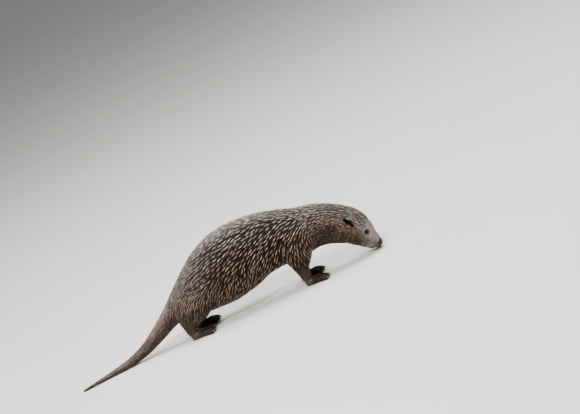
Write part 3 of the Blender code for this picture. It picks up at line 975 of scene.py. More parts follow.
def detailed_skin():
    """The flesh with lids, lips and nostrils, how bare it is, how near the lips' parting, and that line."""
    skin = flesh()
    thin_out(skin, share=0.36)
    eyes = [middle_of(name) for name in EYES.values()]
    line = mouth_line(surface_of(skin.data))
    # Finer faces round the eyes, the lips and the nose, and finer still at the lids.
    lips = [(Vector(point * np.array([1, flip, 1])), 0.0045) for point in line[::3] for flip in (1, -1)]
    nose = [(Vector(nose_frame()[0]), 0.015)]
    refine(skin, [(eye, 0.017) for eye in eyes] + lips + nose)
    refine(skin, [(eye, 0.011) for eye in eyes])
    points = points_of(skin.data)
    bare = np.zeros(len(points))
    set_lids(points, bare)
    normals = normals_of(skin.data)
    points -= normals * (EAR_SLOT_DEPTH * ear_share(points, sunk=0.0) * (1 - ear_cup(points)))[:, None]
    lip_line = set_mouth(points, normals, line)
    points -= normals * (NOSTRIL_DEPTH * nostril_share(points))[:, None]
    set_nose(points)
    bare = np.maximum(bare, fade(nose_reach(points), 1.16, 1.06))
    points[:, 2] = np.maximum(points[:, 2], SKIN_OVER_FLOOR)
    skin.data.vertices.foreach_set("co", points.astype(np.float32).ravel())
    skin.data.update()
    skin.data.shade_smooth()
    return skin, bare, lip_line, both_sides(line)


# --------------------------------------------------------------------------------------------- the coat


# The coat's two layers. seed starts a layer's random draws. scale, length, stand and spiky multiply what the
# tables of the coat give. crest is the share of the painted highlight on the crests that is left where the
# coat is spiky; without it a lock keeps the dark colour of painted shade. The layer doesn't grow where the
# spacing is less than least, in metres. fine is the number of strands for each mm of spacing, and rings are
# the places along a strand of its rings of points.
LAYERS = {
    "coat": {
        "seed": 17,
        "scale": 0.92,
        "length": 1.0,
        "stand": 1.0,
        "spiky": 1.0,
        "crest": 1.0,
        "least": 0.0,
        "fine": 1.35,
        "rings": (0.0, 0.36, 0.72),
    },
    "undercoat": {
        "seed": 29,
        "scale": 0.46,
        "length": 0.72,
        "stand": 0.3,
        "spiky": 0.6,
        "crest": 0.0,
        "least": 0.0021,
        "fine": 1.2,
        "rings": (0.0, 0.5),
    },
}
LOCK_NODES = np.array([0.0, 1 / 3, 2 / 3, 1.0])  # where a path's four points lie along it
OVERSAMPLING = 7  # places tried for each lock that is kept
STRANDS_IN_A_LOCK = (2, 11)  # at least and at most
THICKEST_STRAND = 0.0004
ROOT_UNDER_SKIN = 0.0006
ROOT_DEPTH = 0.0004  # how much deeper still the lower edge of a strand's first ring lies
# The size of a lock's patch on the map OFBake: along it, across it, and across one strand.
PATCH_LENGTH = 0.0028
PATCH_WIDTH = 0.0012
PATCH_STRAND = 0.0002


def node_weights(t):
    """Shares of a lock's four path points at t, on the cubic through them."""
    shares = []
    for i, own in enumerate(LOCK_NODES):
        share = np.ones_like(t)
        for k, other in enumerate(LOCK_NODES):
            if k != i:
                share = share * (t - other) / (own - other)
        shares.append(share)
    return np.stack(shares, axis=-1)


def longer(coat):
    """How many times further apart locks stand along the lie than across it."""
    return 2.0 + 0.4 * coat["spiky"] + 2.4 * coat["combed"]


def spread_places(mesh, scale, rng):
    """Places for locks, all over the skin, several for each that is wanted."""
    mesh.calc_loop_triangles()
    corners = np.empty(len(mesh.loop_triangles) * 3, np.int32)
    mesh.loop_triangles.foreach_get("vertices", corners)
    corners = corners.reshape(-1, 3)
    points, normals = points_of(mesh), normals_of(mesh)
    coat = coat_at(points, normals)
    a, b, c = (points[corners[:, k]] for k in range(3))
    area = np.linalg.norm(np.cross(b - a, c - a), axis=1) / 2
    each = ((coat["spacing"] * scale) ** 2 * longer(coat))[corners].mean(axis=1)
    ends = np.cumsum(OVERSAMPLING * area / each)
    picks = np.searchsorted(ends, rng.uniform(0, ends[-1], int(ends[-1])))
    u, v = rng.uniform(size=len(picks)), rng.uniform(size=len(picks))
    flip = u + v > 1
    u[flip], v[flip] = 1 - u[flip], 1 - v[flip]
    share = np.stack([1 - u - v, u, v], axis=1)
    roots = (points[corners[picks]] * share[:, :, None]).sum(axis=1)
    ups = unit((normals[corners[picks]] * share[:, :, None]).sum(axis=1))
    return roots, ups


def thin_places(roots, coat, scale):
    """Keeps one root in each ellipse that is long along the lie."""
    across = coat["spacing"] * scale
    along = across * longer(coat)
    tree = KDTree(len(roots))
    for k, root in enumerate(roots.tolist()):
        tree.insert(root, k)
    tree.balance()
    free = np.ones(len(roots), bool)
    kept = []
    lies = coat["lie"]
    for k in range(len(roots)):
        if not free[k]:
            continue
        kept.append(k)
        found = np.array([i for _, i, _ in tree.find_range(roots[k], along[k])])
        offset = roots[found] - roots[k]
        forth = offset @ lies[k]
        sideways = np.sqrt(np.maximum((offset**2).sum(axis=1) - forth**2, 0))
        free[found[(forth / along[k]) ** 2 + (sideways / across[k]) ** 2 < 1]] = False
    return np.array(kept)


def lay_paths(surface, roots, ups, lies, lengths):
    """Four points along each lock, on the skin, with the skin's normal and the lie there."""
    points, normals, ways = [roots], [ups], [lies]
    for _ in range(3):
        here, way = points[-1], ways[-1]
        ahead = here + way * (lengths / 3)[:, None]
        place, normal = np.empty_like(here), np.empty_like(here)
        for k, target in enumerate(ahead.tolist()):
            found = surface.find_nearest(target)
            place[k], normal[k] = found[0], found[1]
        normal = unit(normal * 0.6 + normals[-1] * 0.4)
        level = way - normal * (way * normal).sum(axis=1)[:, None]
        points.append(place)
        normals.append(normal)
        ways.append(unit(level))
    return {"points": np.stack(points, 1), "ups": np.stack(normals, 1), "ways": np.stack(ways, 1)}


def strands_of(locks, rng, fine):
    """The strands of the locks: where each lies in its lock, where it starts and ends, and how wide it is."""
    spacing, spiky, stand = locks["spacing"], locks["spiky"], locks["stand"]
    strands = np.clip(np.round(spacing * 1000 * fine + 0.3), *STRANDS_IN_A_LOCK).astype(int)
    lock = np.repeat(np.arange(len(spacing)), strands)
    number = np.concatenate([np.arange(n) for n in strands])
    count = len(lock)
    # Side by side across the lock, from -1 to 1, and a little uneven.
    share = number / (strands[lock] - 1) * 2 - 1 + rng.normal(0, 0.7, count) / strands[lock]
    share = np.clip(share, -1.1, 1.1)
    # The spikier a lock, the more its strands gather to one point, and the less their ends differ.
    spike = spiky[lock]
    size = rng.uniform(0.8, 1.25, len(spacing))[lock]
    spread = spacing[lock] * size * (0.54 - 0.08 * spike)
    gather = 0.40 + 0.56 * spike
    start = rng.uniform(-0.02, 0.14, count)
    end = 1 - rng.uniform(0, 0.30, count) * (1 - 0.70 * spike) - 0.08 * share**2
    bend = rng.normal(0, 0.20, len(spacing))[lock] * spacing[lock] + rng.normal(0, 0.03, count) * spread
    rise = (rng.uniform(0.70, 1.15, len(spacing))[lock] + rng.uniform(-0.06, 0.06, count)) * stand[lock]
    widest = 0.0003 + 0.07 * spacing[lock]
    width = np.minimum(spread * 2 / strands[lock], widest) * rng.uniform(1.2, 1.9, count)
    return {
        "lock": lock,
        "share": share,
        "spread": spread,
        "gather": gather,
        "start": start,
        "end": end,
        "bend": bend,
        "rise": rise,
        "width": width,
        "spike": spike,
    }


def along_path(paths, lock, t):
    """Place, up and sideways directions at t on each strand's lock."""
    weights = node_weights(t)[:, :, None]
    place = (paths["points"][lock] * weights).sum(axis=1)
    up = unit((paths["ups"][lock] * weights).sum(axis=1))
    side = unit(np.cross(up, (paths["ways"][lock] * weights).sum(axis=1)))
    return place, up, side


def strand_place(paths, strand, t):
    """The middle of each strand at t, and its own up and sideways directions on the lock's rounded back."""
    place, up, side = along_path(paths, strand["lock"], t)
    share, spike = strand["share"], strand["spike"]
    # Sideways: narrow at the root where it is spiky, open beyond it, and gathered at the tip.
    open_by = 1 - strand["gather"] * np.clip(t, 0, 1) ** 1.7
    root = 1 - 0.5 * spike * (1 - fade(t, -0.05, 0.35))
    lateral = strand["spread"] * share * open_by * root + strand["bend"] * t**2
    # Upwards: from under the skin to the tip, on a back that is rounder where the lock is spiky.
    dome = strand["spread"] * (0.12 + 0.62 * spike) * (1 - np.clip(share, -1, 1) ** 2)
    height = strand["rise"] * np.clip(t, 0, 1) ** 0.9 + dome * open_by**0.7 * fade(t, -0.1, 0.35)
    height -= ROOT_UNDER_SKIN * fade(t, 0.15, -0.05)
    lean = share * (0.25 + 0.75 * spike)
    own_up = up * np.cos(lean)[:, None] + side * np.sin(lean)[:, None]
    own_side = side * np.cos(lean)[:, None] - up * np.sin(lean)[:, None]
    return place + side * lateral[:, None] + up * height[:, None], own_up, own_side


def strand_faces(name, points, count, rings):
    """A mesh of that many closed strands, and its corners. A strand has rings of three points and a tip."""
    per, last = 3 * rings + 1, 3 * (rings - 1)
    edges = ((1, 0), (2, 1), (0, 2))
    sides = [
        (ring + near, ring + far, ring + 3 + far, ring + 3 + near)
        for ring in range(0, last, 3)
        for near, far in edges
    ]
    ends = [(0, 1, 2)] + [(last + near, last + far, per - 1) for near, far in edges]
    base = (np.arange(count) * per)[:, None, None]
    quads = (base + np.array(sides)[None]).reshape(-1)
    tris = (base + np.array(ends)[None]).reshape(-1)
    loops = np.concatenate([quads, tris])
    starts = np.concatenate([np.arange(0, len(quads), 4), len(quads) + np.arange(0, len(tris), 3)])
    mesh = bpy.data.meshes.new(name)
    mesh.vertices.add(len(points))
    mesh.vertices.foreach_set("co", points.astype(np.float32).ravel())
    mesh.loops.add(len(loops))
    mesh.loops.foreach_set("vertex_index", loops.astype(np.int32))
    mesh.polygons.add(len(starts))
    mesh.polygons.foreach_set("loop_start", starts.astype(np.int32))
    mesh.update(calc_edges=True)
    mesh.shade_smooth()
    return mesh, loops


def lock_mesh(name, paths, locks, tones, unwrap, rng, fine, rings):
    """One piece of the coat: closed strands, three-sided and pointed, as one mesh."""
    strand = strands_of(locks, rng, fine)
    lock, count = strand["lock"], len(strand["lock"])
    levels = []
    for ring in rings:
        t = strand["start"] + (strand["end"] - strand["start"]) * ring
        middle, up, side = strand_place(paths, strand, t)
        half = strand["width"] / 2 * (0.85 + 0.5 * ring - 0.95 * ring**2)
        thick = np.minimum(half * 0.6, THICKEST_STRAND)
        low = thick * 0.4 + ROOT_DEPTH * (ring == 0)
        levels += [
            middle - side * half[:, None] - up * low[:, None],
            middle + up * (thick * 0.6)[:, None],
            middle + side * half[:, None] - up * low[:, None],
        ]
    levels.append(strand_place(paths, strand, strand["end"])[0])
    points = np.stack(levels, axis=1).reshape(-1, 3)
    points[:, 2] = np.maximum(points[:, 2], HAIR_OVER_FLOOR)
    mesh, loops = strand_faces(name, points, count, len(rings))
    level_at = np.concatenate([np.repeat(rings, 3), [1.0]])
    set_looks(mesh, strand, locks, tones, level_at, rng)

    flank = np.tile(np.concatenate([np.tile([-1.0, 0.0, 1.0], len(rings)), [0.0]]), count)
    patch = np.repeat(unwrap[lock], len(levels), axis=0)
    patch[:, 0] += (np.tile(level_at, count) - 0.5) * PATCH_LENGTH
    patch[:, 1] += np.repeat(strand["share"], len(levels)) * PATCH_WIDTH + flank * PATCH_STRAND
    uv = mesh.uv_layers.new(name="OFBake")
    uv.data.foreach_set("uv", patch[loops].astype(np.float32).ravel())
    return link(name, mesh)


def set_looks(mesh, strand, locks, tones, level_at, rng):
    """What the hair's material reads at each point: its tip, shade, crest, wetness and tone."""
    lock, count, per = strand["lock"], len(strand["lock"]), len(level_at)
    shade = rng.uniform(size=len(tones))[lock] * 0.55 + rng.uniform(size=count) * 0.45
    shade = np.clip(shade + 0.40 * (locks["streak"] * (1 - 0.8 * locks["soaked"]))[lock], 0, 1)
    # crest: 1 on the middle of a spiky lock's back, where the painted highlight goes, broken up at random
    # from strand to strand.
    crest = (1 - np.abs(np.clip(strand["share"], -1, 1)) * strand["spike"]) * locks["crest"][lock]
    crest *= 1 - 0.42 * rng.uniform(size=count) ** 1.6 * strand["spike"]
    set_floats(mesh, "tip", np.tile(level_at, count))
    set_floats(mesh, "shade", np.repeat(shade, per))
    set_floats(mesh, "crest", np.repeat(crest, per))
    set_floats(mesh, "soaked", np.repeat(locks["soaked"][lock], per))
    stop = np.clip(strand["start"][:, None] + (strand["end"] - strand["start"])[:, None] * level_at, 0, 1) * 3
    before = np.minimum(stop.astype(int), 2)
    onward = (stop - before)[:, :, None]
    tone = tones[lock[:, None], before] * (1 - onward) + tones[lock[:, None], before + 1] * onward
    set_vectors(mesh, "tone", tone.reshape(-1, 3))


def set_floats(mesh, name, values):
    """Keeps one number for each point of a mesh, for its material to read."""
    mesh.attributes.new(name, "FLOAT", "POINT").data.foreach_set("value", np.asarray(values, np.float32))


def set_vectors(mesh, name, values):
    """Keeps one vector for each point of a mesh, for its material to read."""
    held = mesh.attributes.new(name, "FLOAT_VECTOR", "POINT").data
    held.foreach_set("vector", np.asarray(values, np.float32).ravel())


# The coat's pieces, from the nose to the tail: each one's name, and the station and share where it ends.
COAT_PIECES = (
    ("face", "eyes", 0.6),
    ("head", "nape", 0.2),
    ("neck", "shoulders", 0.0),
    ("shoulders", "chest", 0.2),
    ("ribs", "ribs", 0.3),
    ("belly", "belly", 0.4),
    ("loins", "loins", 0.5),
    ("haunches", "hips", 0.6),
    ("rump", "tail_root", 0.5),
    ("tail", "tail_tip", 1.0),
)
# About where the legs stand, to share out and unwrap their coat.
FORELEG_X, BETWEEN_LEGS_X, HINDLEG_X = 0.25, 0.08, -0.09
LEG_TOP = 0.17


def regions(roots, coat):
    """For each piece of the coat: its name, its locks, and where they lie on an unwrap of the skin there."""
    s, turn = coat["s"], coat["angle"] * coat["side"]
    on_limb = (coat["on_leg"] >= 0.6) | (coat["on_foot"] >= 0.5)
    found = []
    start = 0.0
    for name, station, share in COAT_PIECES:
        end = spine_at(station, share)
        here = (s >= start) & ((s < end) | (name == "tail")) & ~on_limb
        found.append((name, here, (s - start) / (end - start), turn))
        start = end
    front = roots[:, 0] > BETWEEN_LEGS_X
    middle = np.where(front, FORELEG_X, HINDLEG_X)
    turn = np.arctan2(roots[:, 1] - FOOT_TO_MIDDLE * np.sign(roots[:, 1]), roots[:, 0] - middle)
    level = (np.clip(roots[:, 2] / LEG_TOP, 0, 1) + (roots[:, 1] > 0)) / 2
    found.append(("forelegs", on_limb & front, level, turn))
    found.append(("hindlegs", on_limb & ~front, level, turn))
    for name, here, along, turn in found:
        place = np.stack([np.clip(along, 0, 1), turn / (2 * math.pi) + 0.5], axis=1)
        yield name, here, 0.01 + 0.98 * place


def grow_layer(skin, lips, layer, seed, scale, length, stand, spiky, crest, least, fine, rings):
    """One layer of the coat, over the whole skin but for eyelids, nose, ears' insides and toes."""
    rng = np.random.default_rng(seed)
    surface = surface_of(skin.data)
    roots, ups = spread_places(skin.data, scale, rng)
    allowed = may_grow(roots, ups, lips)
    allowed &= coat_at(roots, ups)["spacing"] > least
    roots, ups = roots[allowed], ups[allowed]
    kept = thin_places(roots, coat_at(roots, ups), scale)
    roots, ups = roots[kept], ups[kept]
    coat = coat_at(roots, ups)
    coat["spacing"] = coat["spacing"] * scale
    coat["stand"] = coat["stand"] * stand
    coat["soaked"] = coat["spiky"] * (1 - 0.2 * coat["combed"]) * (1 - 0.55 * coat["crown"])
    coat["streak"] = streaks(coat)
    coat["crest"] = 1 - (1 - crest) * coat["spiky"]
    coat["spiky"] = coat["spiky"] * spiky
    lengths = coat["length"] * length * rng.uniform(0.85, 1.15, len(roots))
    paths = lay_paths(surface, roots, ups, coat["lie"], lengths)
    paths = lay_paths(surface, roots, ups, coat["lie"], cut_short(paths, lengths, lips))
    # A lock that would turn far from its first way, as over the rim of an ear, is left out.
    steady = (paths["ways"][:, 0] * paths["ways"][:, 3]).sum(axis=1) > 0.45
    paths = {key: value[steady] for key, value in paths.items()}
    coat = {key: value[steady] for key, value in coat.items()}
    roots = roots[steady]
    stops = [(paths["points"][:, k], paths["ups"][:, k]) for k in range(4)]
    tones = np.stack([markings(place, coat_at(place, up)) for place, up in stops], axis=1)
    made = []
    for name, here, unwrap in regions(roots, coat):
        own_paths = {key: value[here] for key, value in paths.items()}
        own = {key: coat[key][here] for key in ("spacing", "spiky", "stand", "soaked", "crest", "streak")}
        made.append(lock_mesh(f"{layer}_{name}", own_paths, own, tones[here], unwrap[here], rng, fine, rings))
    return made


def kept_clear(points, lips):
    """Places where no hair lies: the eyes, the nose, the parting of the lips and the hollows of the ears."""
    clear = (nose_reach(points) < 1.08) | (ear_share(points) > 0.3) | (ear_cup(points) > 0.3)
    clear |= nostril_share(points) > 0.4
    for side in (-1, 1):
        clear |= gap_to_eye(points, side) < EYE_RADIUS * 1.22
    near = points[:, 0] > lips[:, 0].min() - 0.004
    gap = np.linalg.norm(points[near][:, None] - lips[None], axis=2).min(axis=1)
    clear[near] |= gap < 0.0011
    return clear


def may_grow(roots, ups, lips):
    """Hair grows everywhere but where it is kept clear, and on toes and soles."""
    allowed = roots[:, 2] > 0.0022
    allowed &= (foot_share(roots) < 0.72) | ((ups[:, 2] > 0.12) & (roots[:, 2] > 0.0062))
    allowed &= ups[:, 2] > -0.995
    return allowed & ~kept_clear(roots, lips)


def cut_short(paths, lengths, lips):
    """Shorter lengths for the locks that would reach over an eye, the nose, the lips or an ear's hollow."""
    shorter = lengths.copy()
    for step, share in ((3, 0.66), (2, 0.40), (1, 0.15)):
        shorter = np.where(kept_clear(paths["points"][:, step], lips), lengths * share, shorter)
    return shorter


# ------------------------------------------------------------------------------- eyes, nose, claws, whiskers


def make_eye(name, side):
    """An eyeball. The attribute from_axis is the angle from the pupil's middle."""
    middle, out, along, up = (np.array(v) for v in eye_axes(side))
    turn = round_turn(48)
    ring = np.outer(np.cos(turn), along) + np.outer(np.sin(turn), up)
    rings, angles = [], []
    for angle in np.radians(np.concatenate([[1.5], np.linspace(6, 174, 43)])):
        rings.append(middle + (ring * math.sin(angle) + out * math.cos(angle)) * EYE_RADIUS)
        angles.append(np.full(len(turn), math.degrees(angle)))
    eye = smooth_object(name, [closed_rings(rings)])
    set_floats(eye.data, "from_axis", np.concatenate(angles))
    return eye


def make_nose():
    """The bare pad, with a comma of a nostril on each side and a groove down its middle."""
    middle, axes = nose_frame()
    turn = round_turn(120)
    rings, depths = [], []
    for angle in np.radians(np.linspace(1, 179, 90)):
        f = np.full(len(turn), math.cos(angle))  # shares of the radii: forward, sideways and up
        s, c = math.sin(angle) * np.cos(turn), math.sin(angle) * np.sin(turn)
        size = np.ones(len(turn))
        front = fade(f, -0.35, -0.15)
        for flip in (-1, 1):
            hole = np.hypot((s * flip - 0.66) / 0.19, (c + 0.16) / 0.30)
            slit = np.hypot((s * flip - 0.90) / 0.22, (c - 0.02) / 0.13)
            size -= (0.46 * np.exp(-(hole**4)) + 0.30 * np.exp(-(slit**4))) * front
            size += 0.05 * np.exp(-((np.minimum(hole, slit) - 1.5) ** 2) / 0.10) * front
        size -= 0.07 * hump(s, 0, 0.06) * fade(c, 0.45, 0.0) * fade(f, 0.0, 0.4)
        size += 0.025 * hump(c, 0.55, 0.22) * fade(f, 0.0, 0.4)
        shape = np.stack([f, s, c], axis=1) * NOSE_RADII
        rings.append(middle + (shape * size[:, None]) @ axes)
        depths.append(fade(size, 0.90, 0.78))
    pad = smooth_object("nose_pad", [closed_rings(rings)])
    # hollow: where the pad is pressed in for the nostrils and slits, painted shade that the material turns
    # black.
    set_floats(pad.data, "hollow", np.concatenate(depths))
    return pad


def make_claws(name, foot):
    """Short blunt claws, curved down, one on each toe."""
    turn = round_turn(14)
    parts = []
    for _, end, way in toe_lines(*foot):
        rings = []
        side = Vector((-way.y, way.x, 0))
        for t in np.linspace(0, 1, 10):
            place = end + way * (0.0010 + 0.0093 * t) + Vector((0, 0, 0.0074 - 0.0012 * t - 0.0026 * t**2))
            steep = Vector((0, 0, 1)) + way * (0.2 + 0.5 * t)
            high = 0.0019 * (1 - t) ** 0.75 + 0.00022
            wide = 0.0015 * (1 - t) ** 0.8 + 0.00020
            ring = np.outer(np.cos(turn) * wide, side) + np.outer(np.sin(turn) * high, steep.normalized())
            rings.append(np.array(place) + ring)
        parts.append(closed_rings(rings))
    return smooth_object(name, parts)


def make_whiskers(surface):
    """Stiff whiskers from the pads of the upper lip, swept back and down, with a few over each eye."""
    rng = np.random.default_rng(5)
    ahead = np.array(spine_direction("lips", 0.4))
    crown = np.array([-ahead[2], 0, ahead[0]])
    parts = []
    for side in (-1, 1):
        left = np.array([0.0, side, 0.0])
        for row in range(4):
            for number in range(5):
                place = spine_point("lips", 0.15 + 0.17 * number, lift=0.05 - 0.17 * row, side=side)
                root, normal, *_ = surface.find_nearest(place)
                root, normal = np.array(root), np.array(normal)
                way = normal * 0.55 + left * 0.35 - ahead * (0.55 + 0.1 * number) - crown * (0.25 + 0.1 * row)
                way += rng.normal(0, 0.08, 3)
                way /= np.linalg.norm(way)
                length = (0.020 + 0.005 * number) * rng.uniform(0.8, 1.15)
                parts.append(whisker(root, way, -ahead * 0.5 - crown * 0.4 - left * 0.25, length))
        for number in range(3):
            place = spine_point("eyes", -0.05 + 0.12 * number, lift=0.72, side=side * 0.7)
            root, normal, *_ = surface.find_nearest(place)
            way = np.array(normal) * 0.7 - ahead * 0.8
            way /= np.linalg.norm(way)
            parts.append(whisker(np.array(root), way, -ahead * 0.4, 0.016 + 0.002 * number))
    return smooth_object("whiskers", parts)


def whisker(root, way, pull, length):
    """One tapered whisker that starts along way and bends towards pull."""
    turn = round_turn(6)
    rings = []
    for t in np.linspace(0, 1, 9):
        place = root - way * 0.0006 + (way * t + pull * 0.45 * t**2) * length
        place[2] = max(place[2], 0.0008)
        ahead = way + pull * 0.9 * t
        side = np.cross(ahead, [0.0, 0.0, 1.0])
        side /= np.linalg.norm(side)
        up = np.cross(side, ahead)
        up /= np.linalg.norm(up)
        radius = 0.00019 * (1 - t) ** 0.7 + 0.00005
        rings.append(place + np.outer(np.cos(turn) * radius, side) + np.outer(np.sin(turn) * radius, up))
    return closed_rings(rings)


# -------------------------------------------------------------------------------------------- materials


def linear(hex_colour):
    """An sRGB hex colour as linear red, green, blue and alpha."""
    values = [int(hex_colour[k : k + 2], 16) / 255 for k in (1, 3, 5)]
    return [v / 12.92 if v <= 0.04045 else ((v + 0.055) / 1.055) ** 2.4 for v in values] + [1.0]


def new_material(name, roughness, ior, **sockets):
    """A material with its shader, and the values that are the same all over."""
    material = bpy.data.materials.new(name)
    material.use_nodes = True
    shader = material.node_tree.nodes["Principled BSDF"]
    shader.inputs["Roughness"].default_value = roughness
    shader.inputs["IOR"].default_value = ior
    for socket, value in sockets.items():
        shader.inputs[socket.replace("_", " ")].default_value = value
    return material, material.node_tree, shader


def node(tree, kind, settings=(), **links):
    """Adds a node with its settings. A link has a socket's name or number, and a value or another socket."""
    made = tree.nodes.new(kind)
    for key, value in dict(settings).items():
        setattr(made, key, value)
    for socket, value in links.items():
        target = made.inputs[int(socket[1:]) if socket[1:].isdigit() else socket.replace("_", " ")]
        if isinstance(value, bpy.types.NodeSocket):
            tree.links.new(value, target)
        else:
            target.default_value = value
    return made


# Settings that nodes share. A Mix node of colours takes its share in socket 0 and the colours in 6 and 7.
TIMES = {"operation": "MULTIPLY"}
COLOURS = {"data_type": "RGBA"}
SMOOTH = {"interpolation_type": "SMOOTHSTEP"}


def marked_colour(tree):
    """The otter's ground colour under its markings: brown, tan below, grey above and dark at the ends. The
    grey holds a painted sheen on the upper side and a painted highlight on the folds by the eyes, and the
    dark holds painted shade in the furrows behind them.
    """
    tone = node(tree, "ShaderNodeAttribute", {"attribute_name": "tone"})
    colour = linear("#5b3e27")
    parts = node(tree, "ShaderNodeSeparateXYZ", _0=tone.outputs["Vector"]).outputs
    for share, marking in zip(parts, ("#68452a", "#887a73", "#2c221c")):
        colour = node(tree, "ShaderNodeMix", COLOURS, _0=share, _6=colour, _7=linear(marking)).outputs[2]
    return colour


def guard_hair():
    """Wet guard hair: keratin under a film of water, so a sharp gloss. Its colour holds painted shade, near
    black at the roots where no light comes, and a painted highlight, greyer along the crests and towards the
    tips."""
    material, tree, shader = new_material("wet_guard_hair", 0.30, 1.55, Coat_Roughness=0.10, Coat_IOR=1.5)
    colour = marked_colour(tree)
    tip, shade, crest, soaked = (
        node(tree, "ShaderNodeAttribute", {"attribute_name": name}).outputs["Fac"]
        for name in ("tip", "shade", "crest", "soaked")
    )
    # Painted light: lit is where the lighter colour goes, rising from the root and strongest on a lock's
    # crest.
    climb = node(tree, "ShaderNodeMapRange", SMOOTH, Value=tip, From_Min=0.10, From_Max=0.58).outputs[0]
    back = node(tree, "ShaderNodeMapRange", SMOOTH, Value=crest, From_Min=0.18, From_Max=0.86).outputs[0]
    lit = node(tree, "ShaderNodeMath", TIMES, _0=climb, _1=back).outputs[0]
    # The painted highlight ends short of the tip, where a lock's point turns down into the wet.
    point = node(tree, "ShaderNodeMapRange", SMOOTH, Value=tip, From_Min=0.70, To_Min=1.0, To_Max=0.30)
    lit = node(tree, "ShaderNodeMath", TIMES, _0=lit, _1=point.outputs[0]).outputs[0]
    vary = node(tree, "ShaderNodeMapRange", Value=shade, To_Min=0.45, To_Max=1.5).outputs[0]
    # The colour at the roots and in the gaps: painted shade, darker where the lock is soaked.
    dark = node(tree, "ShaderNodeMapRange", Value=soaked, To_Min=0.5, To_Max=0.21).outputs[0]
    dark = node(tree, "ShaderNodeMath", TIMES, _0=dark, _1=vary).outputs[0]
    dark = node(tree, "ShaderNodeHueSaturation", Value=dark, Color=colour).outputs[0]
    # The colour on the crests: painted light, brighter where the lock is soaked.
    light = node(tree, "ShaderNodeMapRange", Value=soaked, To_Min=0.92, To_Max=2.35).outputs[0]
    light = node(tree, "ShaderNodeMath", TIMES, _0=light, _1=vary).outputs[0]
    faded = node(tree, "ShaderNodeMapRange", Value=soaked, To_Min=1.0, To_Max=0.7).outputs[0]
    light = node(tree, "ShaderNodeHueSaturation", Value=light, Saturation=faded, Color=colour).outputs[0]
    # On a soaked lock the painted highlight, near white, is one thin line down the middle of its back, weaker
    # where the hair is tan or dark.
    pale = node(tree, "ShaderNodeMapRange", SMOOTH, Value=crest, From_Min=0.58, From_Max=0.98).outputs[0]
    wet = node(tree, "ShaderNodeMapRange", Value=soaked, From_Min=0.3).outputs[0]
    some = node(tree, "ShaderNodeMapRange", Value=shade, From_Min=0.1, From_Max=0.9, To_Min=0.15).outputs[0]
    tone = node(tree, "ShaderNodeAttribute", {"attribute_name": "tone"})
    tan, _, dusk = node(tree, "ShaderNodeSeparateXYZ", _0=tone.outputs["Vector"]).outputs
    by_tan = node(tree, "ShaderNodeMapRange", Value=tan, To_Min=1.0, To_Max=0.2).outputs[0]
    by_dusk = node(tree, "ShaderNodeMapRange", Value=dusk, To_Min=1.0, To_Max=0.3).outputs[0]
    plain = node(tree, "ShaderNodeMath", TIMES, _0=by_tan, _1=by_dusk).outputs[0]
    for share in (wet, some, plain):
        pale = node(tree, "ShaderNodeMath", TIMES, _0=pale, _1=share).outputs[0]
    light = node(tree, "ShaderNodeMix", COLOURS, _0=pale, _6=light, _7=linear("#e2d8d0")).outputs[2]
    colour = node(tree, "ShaderNodeMix", COLOURS, _0=lit, _6=dark, _7=light).outputs[2]
    # Little light comes down between soaked locks, so the gloss is on their crests.
    low = node(tree, "ShaderNodeMapRange", Value=soaked, To_Min=0.8, To_Max=0.16).outputs[0]
    sheen = node(tree, "ShaderNodeMapRange", Value=dusk, To_Min=1.0, To_Max=0.22).outputs[0]
    for socket, full in (("Specular IOR Level", 0.5), ("Coat Weight", 1.0)):
        least = node(tree, "ShaderNodeMath", TIMES, _0=low, _1=full).outputs[0]
        gloss = node(tree, "ShaderNodeMix", {"data_type": "FLOAT"}, _0=lit, _2=least, _3=full).outputs[0]
        gloss = node(tree, "ShaderNodeMath", TIMES, _0=gloss, _1=sheen).outputs[0]
        tree.links.new(gloss, shader.inputs[socket])
    tree.links.new(colour, shader.inputs["Base Color"])
    return material


